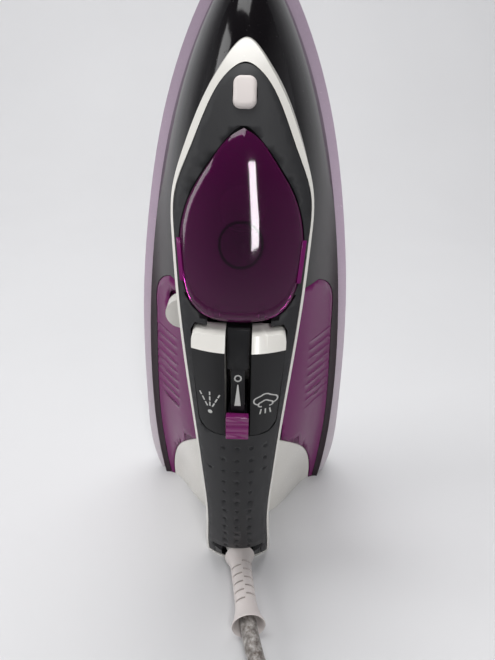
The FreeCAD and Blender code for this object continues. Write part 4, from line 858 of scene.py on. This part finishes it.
ribs = {"from": 72.0, "pitch": 5.6, "count": 9, "inner": 34.5, "wide": 1.0, "high": 0.22}


def sideWindow(side):
    # a side panel with fine cross ribs on its outer part
    name = "tank_window_left" if side > 0 else "tank_window_right"
    shape = bmesh.new()
    shape.from_mesh(bpy.data.objects[name].data)
    bmesh.ops.remove_doubles(shape, verts=shape.verts, dist=1e-6)
    bmesh.ops.transform(shape, verts=shape.verts, matrix=standUp.inverted())
    for k in range(ribs["count"]):
        middle = ribs["from"] + k * ribs["pitch"]
        for share in (-1.0, -0.5, 0.0, 0.5, 1.0):
            cutAcross(shape, (middle + share * ribs["wide"] / 2, 0, 0), (1, 0, 0))
    for y in (ribs["inner"], ribs["inner"] + 1.0):
        cutAcross(shape, (0, side * y, 0), (0, 1, 0))
    shape.normal_update()
    moves = {}
    for vert in shape.verts:
        place = (vert.co.x - ribs["from"]) / ribs["pitch"]
        near = abs(place - round(place)) * ribs["pitch"]
        if -0.3 < place < ribs["count"] - 0.7 and near < ribs["wide"] / 2 - 0.05 and vert.normal.z > 0.15 \
                and abs(vert.co.y) > ribs["inner"] + 0.5:
            moves[vert] = vert.normal * ribs["high"] * math.cos(math.pi * near / ribs["wide"])
    for vert, move in moves.items():
        vert.co += move
    ribbed = "ribbed_panel_" + ("left" if side > 0 else "right")
    settle(shape, ribbed, "iron", "tankPurple", [name], 50.0)


sideWindow(1)
sideWindow(-1)
print("side windows")


# mains plug

plug = {"tail": (0.0, -0.224, 0.016), "sides": 40, "perSpan": 5, "square": 4,
        "grooves": (2.5, 5.0, 7.5), "grooveHalf": 0.8, "grooveDeep": 0.7,
        "stations": [(0.5, 5.2, 10.4), (8, 6.4, 12.4), (15.5, 11.6, 15.8), (18.5, 14.6, 19.2),
                     (21, 15.6, 19.8), (37, 15.8, 19.8), (37.8, 15.2, 19.2)]}  # along, half width, height


def loopOf(ring):
    # the edges that join a ring's own vertices
    return list(dict.fromkeys(e for v in ring for e in v.link_edges if all(u in ring for u in e.verts)))


def mainsPlug():
    # rounded sections drawn out along the plug, with grip grooves on its neck
    shape = bmesh.new()
    stations = []
    for (a, wa, ha), (b, wb, hb) in zip(plug["stations"], plug["stations"][1:]):
        for k in range(plug["perSpan"]):
            t = k / plug["perSpan"]
            stations.append((a + (b - a) * t, wa + (wb - wa) * t, ha + (hb - ha) * t))
    stations.append(plug["stations"][-1])
    rings, power = [], plug["square"]
    for along, wide, high in stations:
        grooved = any(abs(along - g) < plug["grooveHalf"] for g in plug["grooves"])
        groove = plug["grooveDeep"] if grooved else 0.0
        made = bmesh.ops.create_circle(shape, cap_ends=False, segments=plug["sides"], radius=1.0)["verts"]
        for vert in made:
            turn = math.atan2(vert.co.y, vert.co.x)
            square = (abs(math.cos(turn)) ** power + abs(math.sin(turn)) ** power) ** (-1 / power)
            vert.co = Vector((-along, (wide - groove) * square * math.cos(turn),
                              high / 2 + (high / 2 - groove) * square * math.sin(turn)))
        rings.append(made)
    for a, b in zip(rings, rings[1:]):
        bmesh.ops.bridge_loops(shape, edges=loopOf(a) + loopOf(b))
    for end in (rings[0], rings[-1]):
        bmesh.ops.contextual_create(shape, geom=loopOf(end))
    bmesh.ops.scale(shape, verts=shape.verts, vec=(mm, mm, mm))
    bmesh.ops.translate(shape, verts=shape.verts, vec=plug["tail"])
    settle(shape, "mains_plug", "cord_swing", "plugBlack", ["plug_body"], 40.0, stand=False)


mainsPlug()
print("plug")


# cord and its put-away coil

cordSizes = {"diameter": 0.008, "coilMiddle": (-0.012, -0.180), "perTurn": 16,
             "layers": (0.0041, 0.0120), "lift": (0.0505, 0.0198),
             "rise": [(0.0353, -0.1673, 0.0198), (0.0375, -0.1817, 0.0202), (0.0368, -0.1973, 0.0206),
                      (0.0296, -0.2111, 0.0222), (0.0172, -0.2206, 0.0245), (0.0050, -0.2240, 0.0260),
                      (-0.0030, -0.2240, 0.0260)],
             "ways": (0.0360, 0.0440, 0.0520)}


def cordPoints():
    # from inside the guard down to the floor, round the coil in two layers, then up and over to the plug
    swing = math.radians(guard["swing"])
    alongGuard = [(0.001 * d * math.sin(swing), -0.042 - 0.001 * d * math.cos(swing), 0.0097) for d in (44, 62)]
    route = alongGuard + [(0.0155, -0.122, 0.0064), (0.0275, -0.142, 0.0042)]
    middle, ways, layers = cordSizes["coilMiddle"], cordSizes["ways"], cordSizes["layers"]
    count = cordSizes["perTurn"]
    # outer way first at floor level, winding inward, then up a layer and outward again
    turns = [(ways[2], layers[0]), (ways[1], layers[0]), (ways[0], layers[0]),
             (ways[0], layers[1]), (ways[1], layers[1]), (ways[2], layers[1]), cordSizes["lift"]]
    for (radius, height), after in zip(turns, turns[1:]):
        for step in range(count):
            share = step / count
            ease = max(0.0, (share - 0.75) / 0.25)
            reach = radius + (after[0] - radius) * ease
            level = height + (after[1] - height) * ease
            angle = math.radians(15.0) - 2 * math.pi * share
            route.append((middle[0] + reach * math.cos(angle), middle[1] + reach * math.sin(angle), level))
    return route + [tuple(p) for p in cordSizes["rise"]]


def cord():
    data = bpy.data.curves.new("mains_cord", "CURVE")
    data.dimensions = "3D"
    line = data.splines.new("NURBS")
    route = cordPoints()
    line.points.add(len(route) - 1)
    for point, place in zip(line.points, route):
        point.co = (*place, 1.0)
    line.order_u = 3
    line.use_endpoint_u = True
    data.bevel_depth = cordSizes["diameter"] / 2
    data.bevel_resolution = 5
    data.resolution_u = 6
    data.use_fill_caps = True
    data.materials.append(finishes["cordBraid"].material)
    piece = bpy.data.objects.new("mains_cord", data)
    bpy.context.collection.objects.link(piece)
    total = sum((Vector(b) - Vector(a)).length for a, b in zip(route, route[1:]))
    print("cord control line", round(total, 3))
    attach(piece, "cord_swing")
    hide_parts("cord", "cord_coil")


cord()
